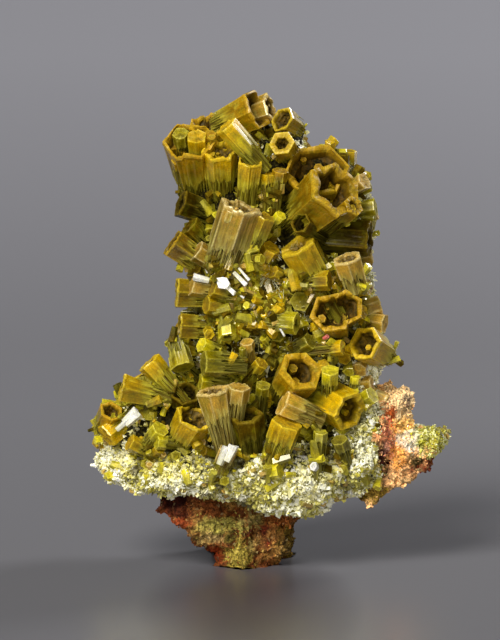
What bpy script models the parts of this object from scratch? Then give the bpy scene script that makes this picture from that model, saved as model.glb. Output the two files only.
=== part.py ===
"""Pyromorphite specimen: hoppered hexagonal crystals on a granular crust, over a limonite matrix.

Metres in the mesh, millimetres in the constants and tables below. +Z is up and the specimen
faces -Y. The origin is the centre of the flat broken foot that it stands on.

The pieces are described as they are seen from the front, in a view tipped VIEW_TILT above level:
`across` runs to the right and `up` rises from the foot's front tip, while `back` is the true
depth, positive away from the viewer.
"""

import math
import random
from collections import namedtuple

import bmesh
import bpy
from mathutils import Euler, Matrix, Vector, noise

MM = 0.001

# Driving dimensions, in millimetres
FOOT_FRONT = -5.5  # depth of the foot's front tip
FOOT_ACROSS = 0.1  # the foot's centre, as the view shows it
VIEW_TILT = math.radians(8.0)
GAP = 0.25  # clearance between pieces that grew against each other
CRUST_VOXEL = 0.75
CRUST_TRIANGLES = 900
MATRIX_VOXEL = 0.6
MATRIX_TRIANGLES = 900
BED_DEPTH = 1.0  # how far a crystal's root is set in the crust
ROOT_STEP = 0.25
LONGEST_ROOT = 6.0  # the most that a root is lengthened to reach the crust
CRYSTAL_SIDES = 6
SCATTER_SEED = 11
SCATTER_TRIES = 120
SCATTER_TILT = 0.65  # how unevenly the scattered crystals stand, as a share of their axis

# The tones of the crystals: base colour and roughness
TONES = {
    "brown": ((0.30, 0.19, 0.035, 1.0), 0.38),
    "gold": ((0.42, 0.29, 0.025, 1.0), 0.34),
    "olive": ((0.30, 0.27, 0.040, 1.0), 0.36),
    "lemon": ((0.55, 0.50, 0.035, 1.0), 0.34),
    "cream": ((0.55, 0.47, 0.240, 1.0), 0.42),
    "dark": ((0.13, 0.10, 0.022, 1.0), 0.40),
}
CRUST_LOOK = ((0.50, 0.50, 0.26, 1.0), 0.6)
MATRIX_LOOK = ((0.33, 0.12, 0.040, 1.0), 0.85)

Crystal = namedtuple("Crystal", "node across up back lean face roll radius length root bore depth tone")
Crystal.__doc__ = """One hexagonal prism or hopper.

across, up, back: the centre of its free end. lean: its axis in the view, in degrees clockwise
from up. face: how far the axis turns towards the viewer, in degrees. roll: its turn about the
axis. radius: at the free end. length: from there to its root. root: the root's radius as a share
of radius. bore: the hollow's radius as a share of radius, 0 for a solid end. depth: of the hollow.
"""

Shape = namedtuple("Shape", "tip axis roll radius length root bore depth")
Shape.__doc__ = "A crystal in the specimen's own frame: tip is a point and axis a direction."

# Hand-placed crystals of the front, largest and nearest first: a later one stops at an earlier one
CRYSTALS = [
    Crystal("hopper_right_front", 8.7, 38.0, -8.2, 50, 48, 10, 3.15, 8.6, 0.78, 0.66, 4.5, "brown"),
    Crystal("hopper_right_front", 10.3, 36.3, -8.6, 50, 50, 30, 1.15, 3.4, 0.90, 0.50, 1.0, "brown"),
    Crystal("crown_cluster", -6.0, 43.0, -4.5, -8, 45, 4, 2.85, 8.2, 0.66, 0.82, 3.0, "brown"),
    Crystal("crown_cluster", -3.0, 42.0, -5.4, -2, 38, 12, 1.90, 6.8, 0.78, 0.70, 1.8, "gold"),
    Crystal("crown_cluster", -4.1, 44.7, -2.0, 2, 28, 20, 2.30, 7.2, 0.70, 0.74, 1.8, "brown"),
    Crystal("crown_cluster", -5.3, 43.2, -4.9, -6, 43, 30, 1.05, 4.0, 0.90, 0.00, 0.0, "gold"),
    Crystal("crown_cluster", -6.9, 43.6, -4.3, -8, 43, 10, 0.85, 4.0, 0.90, 0.00, 0.0, "olive"),
    Crystal("hopper_right_back", 6.6, 40.0, -5.0, 0, 58, 8, 3.35, 7.0, 0.78, 0.78, 3.0, "brown"),
    Crystal("hopper_round", 8.0, 25.8, -8.0, -20, 70, 14, 2.25, 5.0, 0.78, 0.70, 3.0, "brown"),
    Crystal("hopper_round", 9.5, 26.3, -7.7, 30, 68, 25, 1.90, 5.0, 0.78, 0.72, 2.6, "brown"),
    Crystal("hopper_hexagon", 5.0, 20.1, -8.8, 35, 58, 2, 2.35, 5.5, 0.86, 0.60, 2.5, "brown"),
    Crystal("hopper_tilted", 10.0, 15.9, -8.0, 118, 42, 10, 2.15, 5.5, 0.95, 0.66, 2.5, "gold"),
    Crystal("fan_centre", -0.7, 36.4, -7.8, 18, 14, 28, 2.25, 7.4, 0.96, 0.66, 0.8, "cream"),
    Crystal("fan_centre", 1.5, 35.4, -8.0, 22, 16, 26, 1.20, 5.4, 0.90, 0.00, 0.0, "gold"),
    Crystal("prism_tall", -3.7, 18.2, -8.8, -12, 14, 20, 1.80, 5.6, 0.55, 0.60, 0.8, "cream"),
    Crystal("prism_cream_front", 3.1, 16.8, -8.8, -66, 14, 10, 1.45, 4.6, 0.90, 0.00, 0.0, "cream"),
    Crystal("prism_gold_front", 3.7, 15.0, -9.6, 20, 22, 20, 1.65, 3.8, 0.90, 0.00, 0.0, "gold"),
    Crystal("trumpet_left", -12.9, 18.3, -6.6, -76, 4, 12, 1.65, 5.2, 0.62, 0.60, 0.8, "gold"),
    Crystal("hopper_top", 0.9, 46.0, -2.8, 66, 28, 6, 2.15, 5.4, 0.72, 0.78, 2.0, "brown"),
    Crystal("hopper_top", 2.2, 46.1, -1.0, 72, 20, 20, 1.60, 4.4, 0.80, 0.70, 1.2, "cream"),
    Crystal("prism_crown_bar", -2.4, 44.2, -6.4, -42, 14, 22, 1.20, 6.2, 0.85, 0.00, 0.0, "gold"),
    Crystal("hopper_wing", -5.4, 15.6, -8.4, 30, 38, 12, 2.05, 4.5, 0.78, 0.75, 1.8, "gold"),
    Crystal("prism_flat_right", 9.5, 31.2, -7.0, -18, 20, 25, 1.65, 3.8, 0.85, 0.60, 0.6, "cream"),
    Crystal("wedge_centre", 4.6, 32.5, -6.8, -30, 22, 26, 2.10, 3.4, 0.80, 0.50, 0.6, "gold"),
    Crystal("hopper_hook", 11.2, 22.8, -6.8, -60, 50, 12, 1.95, 4.5, 0.82, 0.70, 1.8, "gold"),
    Crystal("hopper_low_right", 12.0, 33.0, -4.6, 94, 12, 24, 1.85, 7.0, 0.90, 0.60, 1.2, "dark"),
    Crystal("hopper_left", -7.8, 32.7, -4.8, -56, 8, 8, 1.65, 6.0, 0.78, 0.70, 1.5, "brown"),
    Crystal("prism_pale_left", -5.4, 31.9, -6.0, -58, 14, 28, 1.20, 5.0, 0.88, 0.00, 0.0, "cream"),
    Crystal("hopper_left_low", -7.4, 27.7, -5.0, -88, 4, 10, 1.65, 5.4, 0.80, 0.62, 1.2, "gold"),
    Crystal("prism_left_high", -5.9, 28.5, -6.6, -80, 15, 22, 1.15, 5.0, 0.85, 0.00, 0.0, "cream"),
    Crystal("prism_left_inner", -3.8, 28.3, -7.6, -74, 20, 28, 1.05, 4.0, 0.88, 0.00, 0.0, "gold"),
    Crystal("hopper_left_column", -7.1, 24.4, -5.2, -86, 8, 10, 1.40, 4.0, 0.84, 0.70, 1.4, "gold"),
    Crystal("prism_across", 4.7, 24.7, -8.4, 96, 20, 24, 1.15, 4.8, 0.85, 0.40, 0.6, "lemon"),
    Crystal("slab_right", 7.9, 28.9, -7.6, 88, 18, 28, 1.05, 4.0, 0.88, 0.00, 0.0, "gold"),
    Crystal("prism_comb", -4.7, 20.7, -8.2, -88, 14, 28, 1.40, 4.4, 0.98, 0.00, 0.0, "olive"),
    Crystal("prism_comb_under", -5.0, 18.9, -7.2, -85, 12, 10, 0.95, 4.0, 0.92, 0.00, 0.0, "olive"),
    Crystal("fan_wing_top", -10.1, 20.9, -5.8, -42, 8, 25, 1.30, 4.8, 0.78, 0.50, 0.6, "gold"),
    Crystal("prism_wing_down", -6.6, 20.2, -6.8, 165, 22, 20, 1.25, 3.4, 0.85, 0.00, 0.0, "olive"),
    Crystal("hopper_dark_fringe", -0.4, 15.7, -8.6, -8, 32, 14, 1.75, 4.2, 0.92, 0.62, 1.2, "dark"),
    Crystal("prism_short", -1.1, 18.5, -8.6, 8, 22, 28, 1.20, 3.4, 0.95, 0.00, 0.0, "cream"),
    Crystal("fan_down", -2.2, 23.2, -7.6, 174, 26, 15, 0.95, 3.2, 0.82, 0.50, 0.6, "lemon"),
    Crystal("prism_white_left", -14.4, 13.4, -5.4, -128, 18, 12, 1.35, 4.6, 0.90, 0.00, 0.0, "gold"),
    Crystal("hopper_ring_left", -13.7, 16.0, -5.6, 30, 48, 14, 1.30, 3.4, 0.82, 0.68, 1.2, "brown"),
    Crystal("hopper_ring_back", -6.4, 17.9, -7.0, 0, 50, 20, 1.55, 4.0, 0.82, 0.72, 1.4, "dark"),
    Crystal("hopper_lip", 4.9, 34.6, -7.8, -60, 50, 10, 1.20, 3.4, 0.82, 0.74, 1.4, "dark"),
    Crystal("hopper_top_hexagon", 3.1, 42.5, -5.0, -30, 65, 8, 1.40, 3.6, 0.88, 0.48, 1.2, "gold"),
    Crystal("hopper_top_cup", 3.1, 44.9, -2.8, -60, 45, 12, 1.40, 3.0, 0.82, 0.72, 1.2, "gold"),
    Crystal("hopper_crown_cup", 0.1, 40.8, -6.4, 6, 28, 12, 1.35, 5.0, 0.72, 0.74, 1.4, "gold"),
    Crystal("hopper_dark_left", -7.0, 36.6, -2.8, -70, 16, 10, 1.50, 5.0, 0.82, 0.50, 0.8, "dark"),
    Crystal("prism_dark_left", -6.1, 34.4, -4.0, -45, 18, 25, 1.15, 5.0, 0.82, 0.00, 0.0, "dark"),
    Crystal("prism_side", 3.0, 39.8, -6.0, 8, 22, 28, 0.85, 4.0, 0.82, 0.00, 0.0, "brown"),
]

# Small crystals that are one with the crust that they grow from
SMALL_CRYSTALS = [
    Crystal("crust", 1.8, 39.5, -5.8, 3, 20, 10, 0.75, 4.5, 0.75, 0.0, 0.0, "gold"),
    Crystal("crust", 11.4, 38.8, -3.4, 60, 35, 0, 0.95, 3.5, 0.85, 0.0, 0.0, "cream"),
    Crystal("crust", 12.5, 36.2, -3.4, 80, 12, 10, 0.90, 4.5, 0.85, 0.0, 0.0, "olive"),
    Crystal("crust", 12.4, 34.6, -2.0, 96, 14, 20, 0.95, 4.0, 0.85, 0.0, 0.0, "olive"),
    Crystal("crust", 11.9, 38.6, -1.6, 66, 10, 5, 0.90, 3.6, 0.85, 0.0, 0.0, "olive"),
    Crystal("crust", 3.1, 35.4, -5.8, 40, 32, 10, 0.65, 2.5, 0.90, 0.0, 0.0, "lemon"),
    Crystal("crust", -4.4, 26.5, -7.0, -85, 25, 28, 0.95, 3.5, 0.88, 0.0, 0.0, "gold"),
    Crystal("crust", -7.4, 23.9, -2.0, -88, 12, 28, 0.85, 3.6, 0.88, 0.0, 0.0, "brown"),
    Crystal("crust", 2.2, 32.2, -6.4, 32, 32, 10, 1.00, 3.0, 0.85, 0.0, 0.0, "gold"),
    Crystal("crust", 6.0, 23.0, -7.0, 60, 34, 26, 0.90, 2.4, 0.95, 0.0, 0.0, "olive"),
    Crystal("crust", 9.2, 22.3, -7.8, 84, 24, 28, 0.80, 2.2, 0.95, 0.0, 0.0, "gold"),
    Crystal("crust", 7.9, 20.1, -8.2, 2, 32, 28, 1.00, 3.2, 0.88, 0.0, 0.0, "lemon"),
    Crystal("crust", -8.8, 14.3, -7.8, 40, 34, 20, 1.00, 2.4, 0.90, 0.0, 0.0, "lemon"),
    Crystal("crust", -9.3, 12.9, -8.2, -86, 22, 28, 0.75, 2.4, 0.90, 0.0, 0.0, "lemon"),
    Crystal("crust", -12.0, 12.9, -7.4, -64, 22, 24, 0.90, 2.4, 0.90, 0.0, 0.0, "gold"),
    Crystal("crust", -2.1, 12.2, -9.4, 24, 22, 28, 1.05, 2.8, 0.88, 0.0, 0.0, "cream"),
    Crystal("crust", 7.0, 14.0, -9.0, 5, 22, 28, 0.75, 2.8, 0.90, 0.0, 0.0, "lemon"),
    Crystal("crust", 3.0, 10.1, -9.8, 80, 26, 24, 0.85, 2.0, 0.95, 0.0, 0.0, "lemon"),
    Crystal("crust", 8.8, 13.2, -8.0, -20, 32, 20, 0.90, 2.5, 0.88, 0.0, 0.0, "olive"),
    Crystal("crust", 10.5, 19.4, -6.4, 8, 20, 28, 0.55, 2.4, 0.95, 0.0, 0.0, "lemon"),
    Crystal("crust", 12.2, 17.6, -6.4, 60, 32, 10, 0.95, 2.4, 0.85, 0.0, 0.0, "lemon"),
    Crystal("crust", -6.9, 22.3, -4.2, -76, 20, 28, 0.95, 3.6, 0.88, 0.0, 0.0, "gold"),
    Crystal("crust", -7.5, 20.9, -5.0, -50, 24, 12, 0.95, 3.2, 0.88, 0.0, 0.0, "olive"),
    Crystal("crust", -4.9, 22.6, -6.8, -66, 30, 20, 0.85, 3.0, 0.88, 0.0, 0.0, "lemon"),
    Crystal("crust", -5.6, 29.9, -6.0, -30, 26, 8, 0.85, 3.0, 0.88, 0.0, 0.0, "dark"),
    Crystal("crust", 1.3, 23.3, -6.8, -42, 34, 28, 0.50, 3.4, 0.90, 0.0, 0.0, "lemon"),
    Crystal("crust", -0.3, 22.9, -6.8, -10, 32, 24, 0.75, 2.6, 0.95, 0.0, 0.0, "cream"),
    Crystal("crust", 0.9, 27.6, -6.8, 35, 32, 22, 0.60, 2.4, 0.92, 0.0, 0.0, "lemon"),
    Crystal("crust", 2.2, 29.8, -6.6, -60, 36, 20, 0.75, 2.4, 0.95, 0.0, 0.0, "gold"),
    Crystal("crust", 1.2, 20.8, -7.0, 40, 35, 26, 0.80, 2.4, 0.95, 0.0, 0.0, "gold"),
    Crystal("crust", 1.3, 18.6, -7.4, 5, 38, 12, 0.80, 2.4, 0.95, 0.0, 0.0, "olive"),
]

# The small crystals scattered over the crust: the swelling that they stand on, their number, their
# smallest and largest radius, and the way that they mostly face
SCATTER = [
    ("tower", 20, 0.75, 1.20, (0.0, -1.4, 0.0)),
    ("left lobe", 6, 0.75, 1.10, (-1.0, -0.6, -0.2)),
    ("upper right", 6, 0.70, 0.95, (0.9, 0.0, -0.6)),
    ("right shoulder", 12, 0.70, 1.10, (0.5, -1.4, 0.1)),
    ("wing", 10, 0.70, 1.10, (-0.3, -0.7, 1.0)),
    ("tower", 8, 0.80, 1.20, (0.0, 1.4, 0.3)),
]

# The crust's swellings: centre across, up and back, then half sizes along X, Y and Z
CRUST_SWELLINGS = {
    "tower": ((2.2, 26.0, 0.4), (6.2, 5.8, 18.0)),
    "peak": ((2.9, 41.6, 0.6), (2.7, 3.0, 4.2)),
    "left lobe": ((-1.4, 35.0, 0.4), (4.4, 4.4, 8.0)),
    "left waist": ((-3.2, 23.0, 0.0), (3.7, 4.8, 4.6)),
    "upper right": ((7.5, 35.0, 0.3), (4.4, 4.7, 7.2)),
    "right shoulder": ((7.5, 21.5, 0.6), (5.6, 6.0, 12.0)),
    "lower right": ((9.8, 13.2, -1.0), (4.8, 6.2, 6.2)),
    "wing": ((-7.5, 14.2, 0.0), (7.2, 7.2, 4.6)),
    "plate": ((-0.6, 10.5, 0.0), (14.7, 9.4, 3.4)),
    "front lip": ((3.5, 9.0, -3.0), (6.0, 6.2, 3.2)),
}

# The matrix's blocks: centre across, up and back, half sizes along X, Y and Z, turn about Y and Z
MATRIX_BLOCKS = {
    "foot": ((0.3, 3.4, 2.0), (2.9, 4.4, 4.6), 0, 0),
    "foot tip": ((-0.7, 3.0, -2.6), (2.05, 2.05, 4.4), 0, 45),
    "back foot": ((0.2, 4.5, 5.0), (3.8, 4.0, 5.0), 0, 8),
    "left block": ((-6.0, 6.6, -1.0), (2.8, 4.0, 1.9), 26, -6),
    "middle block": ((-3.0, 4.9, -2.0), (1.9, 2.8, 2.6), 16, 14),
    "right foot": ((3.2, 4.1, -0.6), (1.2, 3.3, 2.6), 8, -10),
    "back slab": ((3.0, 17.5, 6.6), (6.6, 3.2, 9.0), 3, 3),
    "wing back": ((-5.0, 13.5, 6.2), (6.0, 2.6, 4.0), -4, -8),
    "right bridge": ((11.0, 14.0, 4.5), (4.0, 3.0, 4.0), 0, 10),
    "right rock": ((13.7, 13.7, -0.4), (2.4, 3.8, 4.2), -16, 12),
    "right knob": ((17.0, 12.2, -0.6), (2.0, 2.6, 2.1), 18, -10),
    "right low": ((13.2, 9.8, -1.0), (2.6, 3.4, 1.7), -24, 6),
}


def seen(across, up, back):
    """The point at depth `back` that the front view shows at (across, up), in millimetres."""
    rise = (up - (back - FOOT_FRONT) * math.sin(VIEW_TILT)) / math.cos(VIEW_TILT)
    return Vector((across - FOOT_ACROSS, back, rise))


def heading(lean, face):
    """A unit vector from an angle in the view and an angle towards the viewer, in degrees."""
    right = Vector((1, 0, 0))
    up = Vector((0, math.sin(VIEW_TILT), math.cos(VIEW_TILT)))
    lean, face = math.radians(lean), math.radians(face)
    flat = right * math.sin(lean) + up * math.cos(lean)
    return flat * math.cos(face) + right.cross(up) * math.sin(face)


def clear_scene():
    for obj in list(bpy.data.objects):
        bpy.data.objects.remove(obj)


def make_material(name, colour, roughness):
    material = bpy.data.materials.new(name)
    material.use_nodes = True
    shader = material.node_tree.nodes["Principled BSDF"]
    shader.inputs["Base Color"].default_value = colour
    shader.inputs["Roughness"].default_value = roughness
    shader.inputs["Metallic"].default_value = 0.0
    return material


def add_object(name, mesh):
    obj = bpy.data.objects.new(name, mesh)
    bpy.context.scene.collection.objects.link(obj)
    return obj


def mesh_from(bm, name):
    bmesh.ops.recalc_face_normals(bm, faces=bm.faces)
    mesh = bpy.data.meshes.new(name)
    bm.to_mesh(mesh)
    bm.free()
    return mesh


def apply_modifiers(obj):
    graph = bpy.context.evaluated_depsgraph_get()
    result = bpy.data.meshes.new_from_object(obj.evaluated_get(graph))
    obj.modifiers.clear()
    old, obj.data = obj.data, result
    bpy.data.meshes.remove(old)


def combine(obj, other, operation):
    """Joins `other` to obj, or cuts it from obj."""
    step = obj.modifiers.new(operation.lower(), "BOOLEAN")
    step.operation = operation
    step.solver = "EXACT"
    step.object = other
    apply_modifiers(obj)


def box_of(obj):
    corners = [v.co for v in obj.data.vertices]
    return [(min(c[i] for c in corners), max(c[i] for c in corners)) for i in range(3)]


def cut_by_all(obj, spaces):
    """Cuts from obj each of the spaces that reaches it."""
    for space in spaces:
        if not obj.data.vertices:
            return
        if all(a[0] < b[1] and b[0] < a[1] for a, b in zip(box_of(obj), box_of(space))):
            combine(obj, space, "DIFFERENCE")


def keep_largest_body(obj):
    """Drops the slivers that a cut may leave beside a piece."""
    bm = bmesh.new()
    bm.from_mesh(obj.data)
    bodies, left = [], set(bm.verts)
    while left:
        body, edge = set(), [left.pop()]
        while edge:
            vertex = edge.pop()
            body.add(vertex)
            for neighbour in (e.other_vert(vertex) for e in vertex.link_edges):
                if neighbour in left:
                    left.remove(neighbour)
                    edge.append(neighbour)
        bodies.append(body)
    largest = max(bodies, key=len)
    bmesh.ops.delete(bm, geom=[v for v in bm.verts if v not in largest], context="VERTS")
    bm.to_mesh(obj.data)
    bm.free()


def in_crust(point):
    """Whether a point lies inside one of the crust's swellings."""
    for centre, half in CRUST_SWELLINGS.values():
        offset = point - seen(*centre)
        if sum((offset[i] / half[i]) ** 2 for i in range(3)) < 1.0:
            return True
    return False


def shape_of(crystal):
    """The crystal's shape, its root lengthened where that sets it in the crust."""
    tip, axis = seen(crystal.across, crystal.up, crystal.back), heading(crystal.lean, crystal.face)
    length = crystal.length
    while not in_crust(tip - axis * (length - BED_DEPTH)):
        length += ROOT_STEP
        if length > crystal.length + LONGEST_ROOT:
            length = crystal.length
            break
    return Shape(tip, axis, crystal.roll, crystal.radius, length, crystal.root,
                 crystal.bore, crystal.depth)


def distance_to_axis(point, tip, axis, length):
    """How far a point is from the line through a crystal's middle."""
    along = max(0.0, min(length, (tip - point).dot(axis)))
    return (tip - axis * along - point).length


def scattered_shapes(placed):
    """Small crystals over the crust, clear of those already placed and of each other."""
    chance = random.Random(SCATTER_SEED)
    taken = list(placed)
    for swelling, count, smallest, largest, facing in SCATTER:
        centre, half = CRUST_SWELLINGS[swelling]
        wanted = len(taken) + count
        for _ in range(count * SCATTER_TRIES):
            way = Vector([chance.gauss(0, 1) for _ in range(3)]).normalized() + Vector(facing)
            way = Vector([w * h for w, h in zip(way.normalized(), half)])
            outward = Vector([w / h ** 2 for w, h in zip(way, half)]).normalized()
            tilt = Vector([chance.gauss(0, SCATTER_TILT) for _ in range(3)])
            axis = (outward + tilt).normalized()
            radius, roll = chance.uniform(smallest, largest), chance.uniform(0, 60)
            stand = radius * chance.uniform(0.9, 1.9)
            tip = seen(*centre) + way + axis * stand
            clear = all(distance_to_axis(tip, other.tip, other.axis, other.length)
                        > radius + other.radius * 0.7 for other in taken)
            if clear and not in_crust(tip):
                taken.append(Shape(tip, axis, roll, radius, stand + radius, 0.85, 0, 0))
            if len(taken) == wanted:
                break
    return taken[len(placed):]


def frame_of(shape):
    """The matrix from a crystal's own frame, with +Z along its axis, to the specimen's."""
    turn = shape.axis.to_track_quat("Z", "Y").to_matrix().to_4x4()
    return Matrix.Translation(shape.tip) @ turn @ Matrix.Rotation(math.radians(shape.roll), 4, "Z")


def hexagon(radius, height, sizes):
    """A ring of corners. `sizes` makes the six corners a little uneven, alike on every ring."""
    step = math.tau / CRYSTAL_SIDES
    return [
        (radius * size * math.cos(i * step), radius * size * math.sin(i * step), height)
        for i, size in enumerate(sizes)
    ]


def bridged_rings(rings, frame, name):
    """A closed solid through rings of points, capped at both ends. Rings are in millimetres."""
    bm = bmesh.new()
    loops = [[bm.verts.new(frame @ Vector(point) * MM) for point in ring] for ring in rings]
    for lower, upper in zip(loops, loops[1:]):
        for i in range(len(lower)):
            j = (i + 1) % len(lower)
            bm.faces.new((lower[i], lower[j], upper[j], upper[i]))
    bm.faces.new(loops[0][::-1])
    bm.faces.new(loops[-1])
    return mesh_from(bm, name)


def crystal_mesh(shape, name):
    """A hexagonal prism that flares to its free end, with a stepped hollow there if it has a bore."""
    chance = random.Random(f"{shape.tip.x:.2f} {shape.tip.z:.2f}")
    sizes = [chance.uniform(0.93, 1.05) for _ in range(CRYSTAL_SIDES)]
    radius = shape.radius
    rings = [hexagon(radius * shape.root, -shape.length, sizes)]
    if shape.bore:
        inner = radius * shape.bore
        rings += [
            hexagon(radius * 0.99, -radius * 0.12, sizes),
            hexagon(radius * 0.92, 0, sizes),
            hexagon(inner, 0, sizes),
            hexagon(inner * 0.80, -shape.depth * 0.5, sizes),
            hexagon(inner * 0.50, -shape.depth, sizes),
        ]
    else:
        rings += [hexagon(radius, 0, sizes)]
    return bridged_rings(rings, frame_of(shape), name)


def clearance_mesh(shape):
    """The space that a crystal takes with its hollow filled, GAP larger all round."""
    even = [1.05] * CRYSTAL_SIDES
    rings = [
        hexagon(shape.radius * shape.root + GAP, -shape.length - GAP, even),
        hexagon(shape.radius + GAP, GAP, even),
    ]
    return bridged_rings(rings, frame_of(shape), "clearance")


def remesh(obj, voxel):
    step = obj.modifiers.new("remesh", "REMESH")
    step.mode = "VOXEL"
    step.voxel_size = voxel * MM
    apply_modifiers(obj)


def reduce_to(obj, triangles):
    step = obj.modifiers.new("reduce", "DECIMATE")
    step.ratio = min(1.0, triangles / (2 * len(obj.data.polygons)))
    apply_modifiers(obj)


def roughen(obj, shift):
    """Moves each vertex along its normal by shift(point), in millimetres."""
    normals = [v.normal.copy() for v in obj.data.vertices]
    for vertex, normal in zip(obj.data.vertices, normals):
        vertex.co += normal * shift(vertex.co / MM) * MM


def grown(obj, by):
    """A copy of obj whose surface stands `by` millimetres further out.

    It can fall short of obj in a sharp corner, so what it cuts is cut by an even copy as well.
    """
    copy = add_object("grown", obj.data.copy())
    roughen(copy, lambda point: by)
    return copy


def crust_bump(point):
    """Rounded knobs over a slow swell."""
    swell = noise.noise(point / 5.0) * 0.7
    knobs = abs(noise.noise(point / 1.9 + Vector((7, 3, 1)))) * 1.1
    return swell + knobs - 0.25


def matrix_bump(point):
    """Steps, pits and grit of broken limonite."""
    swell = noise.noise(point / 3.5 + Vector((2, 9, 4))) * 0.8
    step = noise.cell(point / 1.6 + Vector((5, 5, 5))) * 0.30
    pit = min(0.0, noise.noise(point / 1.3) + 0.25) * 1.3
    return swell + step + pit


def build_crust():
    bm = bmesh.new()
    for centre, half in CRUST_SWELLINGS.values():
        place = Matrix.Translation(seen(*centre) * MM) @ Matrix.Diagonal(Vector(half) * MM).to_4x4()
        bmesh.ops.create_icosphere(bm, subdivisions=4, radius=1.0, matrix=place)
    crust = add_object("druse_crust", mesh_from(bm, "druse_crust"))
    remesh(crust, CRUST_VOXEL)
    roughen(crust, crust_bump)
    reduce_to(crust, CRUST_TRIANGLES)
    return crust


def build_matrix():
    bm = bmesh.new()
    for centre, half, turn_y, turn_z in MATRIX_BLOCKS.values():
        turn = Euler((0, math.radians(turn_y), math.radians(turn_z))).to_matrix().to_4x4()
        size = Matrix.Diagonal(Vector(half) * MM * 2).to_4x4()
        place = Matrix.Translation(seen(*centre) * MM) @ turn @ size
        bmesh.ops.create_cube(bm, size=1.0, matrix=place)
    matrix = add_object("limonite_matrix", mesh_from(bm, "limonite_matrix"))
    remesh(matrix, MATRIX_VOXEL)
    roughen(matrix, matrix_bump)
    reduce_to(matrix, MATRIX_TRIANGLES)
    return matrix


def stand_flat(obj):
    """Cuts the foot off level at the ground."""
    bm = bmesh.new()
    below = Matrix.Translation((0, 0, -0.02))
    bmesh.ops.create_cube(bm, size=1.0, matrix=below @ Matrix.Diagonal((0.1, 0.1, 0.04, 1)))
    ground = add_object("ground", mesh_from(bm, "ground"))
    combine(obj, ground, "DIFFERENCE")
    bpy.data.objects.remove(ground)


def build_crystals(crust_spaces):
    """The named crystals. Each stops at the crust and at the crystals before it in the table."""
    made, spaces = {}, []
    for name in dict.fromkeys(crystal.node for crystal in CRYSTALS):
        members = [crystal for crystal in CRYSTALS if crystal.node == name]
        shapes = [shape_of(crystal) for crystal in members]
        obj = add_object(name, crystal_mesh(shapes[0], name))
        for shape in shapes[1:]:
            other = add_object("member", crystal_mesh(shape, "member"))
            combine(obj, other, "UNION")
            bpy.data.objects.remove(other)
        cut_by_all(obj, [*crust_spaces, *spaces])
        keep_largest_body(obj)
        spaces += [add_object("clearance", clearance_mesh(shape)) for shape in shapes]
        made[name] = (obj, members[0].tone)
    return made, spaces


def into_triangles(obj):
    """Splits an object's faces, since a join goes wrong where a face of many corners is bent."""
    bm = bmesh.new()
    bm.from_mesh(obj.data)
    bmesh.ops.triangulate(bm, faces=[face for face in bm.faces if len(face.verts) > 3])
    bm.to_mesh(obj.data)
    bm.free()


def volume_of(obj):
    """The volume that a closed solid holds, or nothing for an open one."""
    bm = bmesh.new()
    bm.from_mesh(obj.data)
    closed = all(len(edge.link_faces) == 2 for edge in bm.edges)
    volume = bm.calc_volume() if closed else 0.0
    bm.free()
    return volume


def fuse_small_crystals(crust, spaces):
    """Joins the small crystals to the crust, and returns the spaces that they take.

    One that only grazes what is there, so that the join would leave a gap, stays out.
    """
    small_spaces = []
    small_shapes = [shape_of(crystal) for crystal in SMALL_CRYSTALS]
    placed = [shape_of(crystal) for crystal in CRYSTALS] + small_shapes
    for shape in small_shapes + scattered_shapes(placed):
        small = add_object("small", crystal_mesh(shape, "small"))
        cut_by_all(small, spaces)
        before, volume = crust.data.copy(), volume_of(crust)
        combine(crust, small, "UNION")
        bpy.data.objects.remove(small)
        into_triangles(crust)
        if volume_of(crust) > volume:
            small_spaces.append(add_object("clearance", clearance_mesh(shape)))
        else:
            crust.data = before
    keep_largest_body(crust)
    return small_spaces


def main():
    clear_scene()
    crust = build_crust()
    crust_spaces = [grown(crust, GAP), grown(crust, 0.0)]
    crystals, spaces = build_crystals(crust_spaces)
    spaces += fuse_small_crystals(crust, spaces)

    matrix = build_matrix()
    cut_by_all(matrix, [*crust_spaces, *spaces])
    keep_largest_body(matrix)
    stand_flat(matrix)

    for helper in [*crust_spaces, *spaces]:
        bpy.data.objects.remove(helper)
    looks = {name: make_material(f"pyromorphite_{name}", *look) for name, look in TONES.items()}
    for obj, tone in crystals.values():
        obj.data.materials.clear()
        obj.data.materials.append(looks[tone])
    crust.data.materials.append(make_material("druse", *CRUST_LOOK))
    matrix.data.materials.append(make_material("limonite", *MATRIX_LOOK))


main()
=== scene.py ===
"""Looks of the pyromorphite specimen: grooved hoppers with combs of fibres, druse and limonite.

Sizes are in millimetres until a mesh is made. Crystals are placed by the same tables as in the
model, as the front view shows them: `across` to the right, `up` from the foot's front tip, and
`back` the true depth, positive away from the viewer.
"""

import math
import random
from collections import namedtuple

import bmesh
import bpy
import numpy as np
from mathutils import Euler, Matrix, Vector, noise


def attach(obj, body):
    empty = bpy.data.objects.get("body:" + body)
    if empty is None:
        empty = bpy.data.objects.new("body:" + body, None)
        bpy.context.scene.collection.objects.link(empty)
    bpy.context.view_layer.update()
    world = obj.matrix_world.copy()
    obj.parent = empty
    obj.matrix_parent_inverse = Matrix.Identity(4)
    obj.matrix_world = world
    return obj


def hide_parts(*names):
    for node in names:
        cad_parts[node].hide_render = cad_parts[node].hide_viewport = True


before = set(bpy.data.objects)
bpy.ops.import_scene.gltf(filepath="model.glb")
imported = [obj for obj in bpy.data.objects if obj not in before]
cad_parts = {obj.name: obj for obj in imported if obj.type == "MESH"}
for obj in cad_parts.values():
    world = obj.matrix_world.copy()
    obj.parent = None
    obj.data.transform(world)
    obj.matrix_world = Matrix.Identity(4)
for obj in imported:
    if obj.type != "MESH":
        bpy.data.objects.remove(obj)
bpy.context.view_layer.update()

MM = 0.001

# The front view, in millimetres
FOOT_FRONT = -5.5  # depth of the foot's front tip
FOOT_ACROSS = 0.1  # the foot's centre, as the view shows it
VIEW_TILT = math.radians(8.0)

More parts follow.
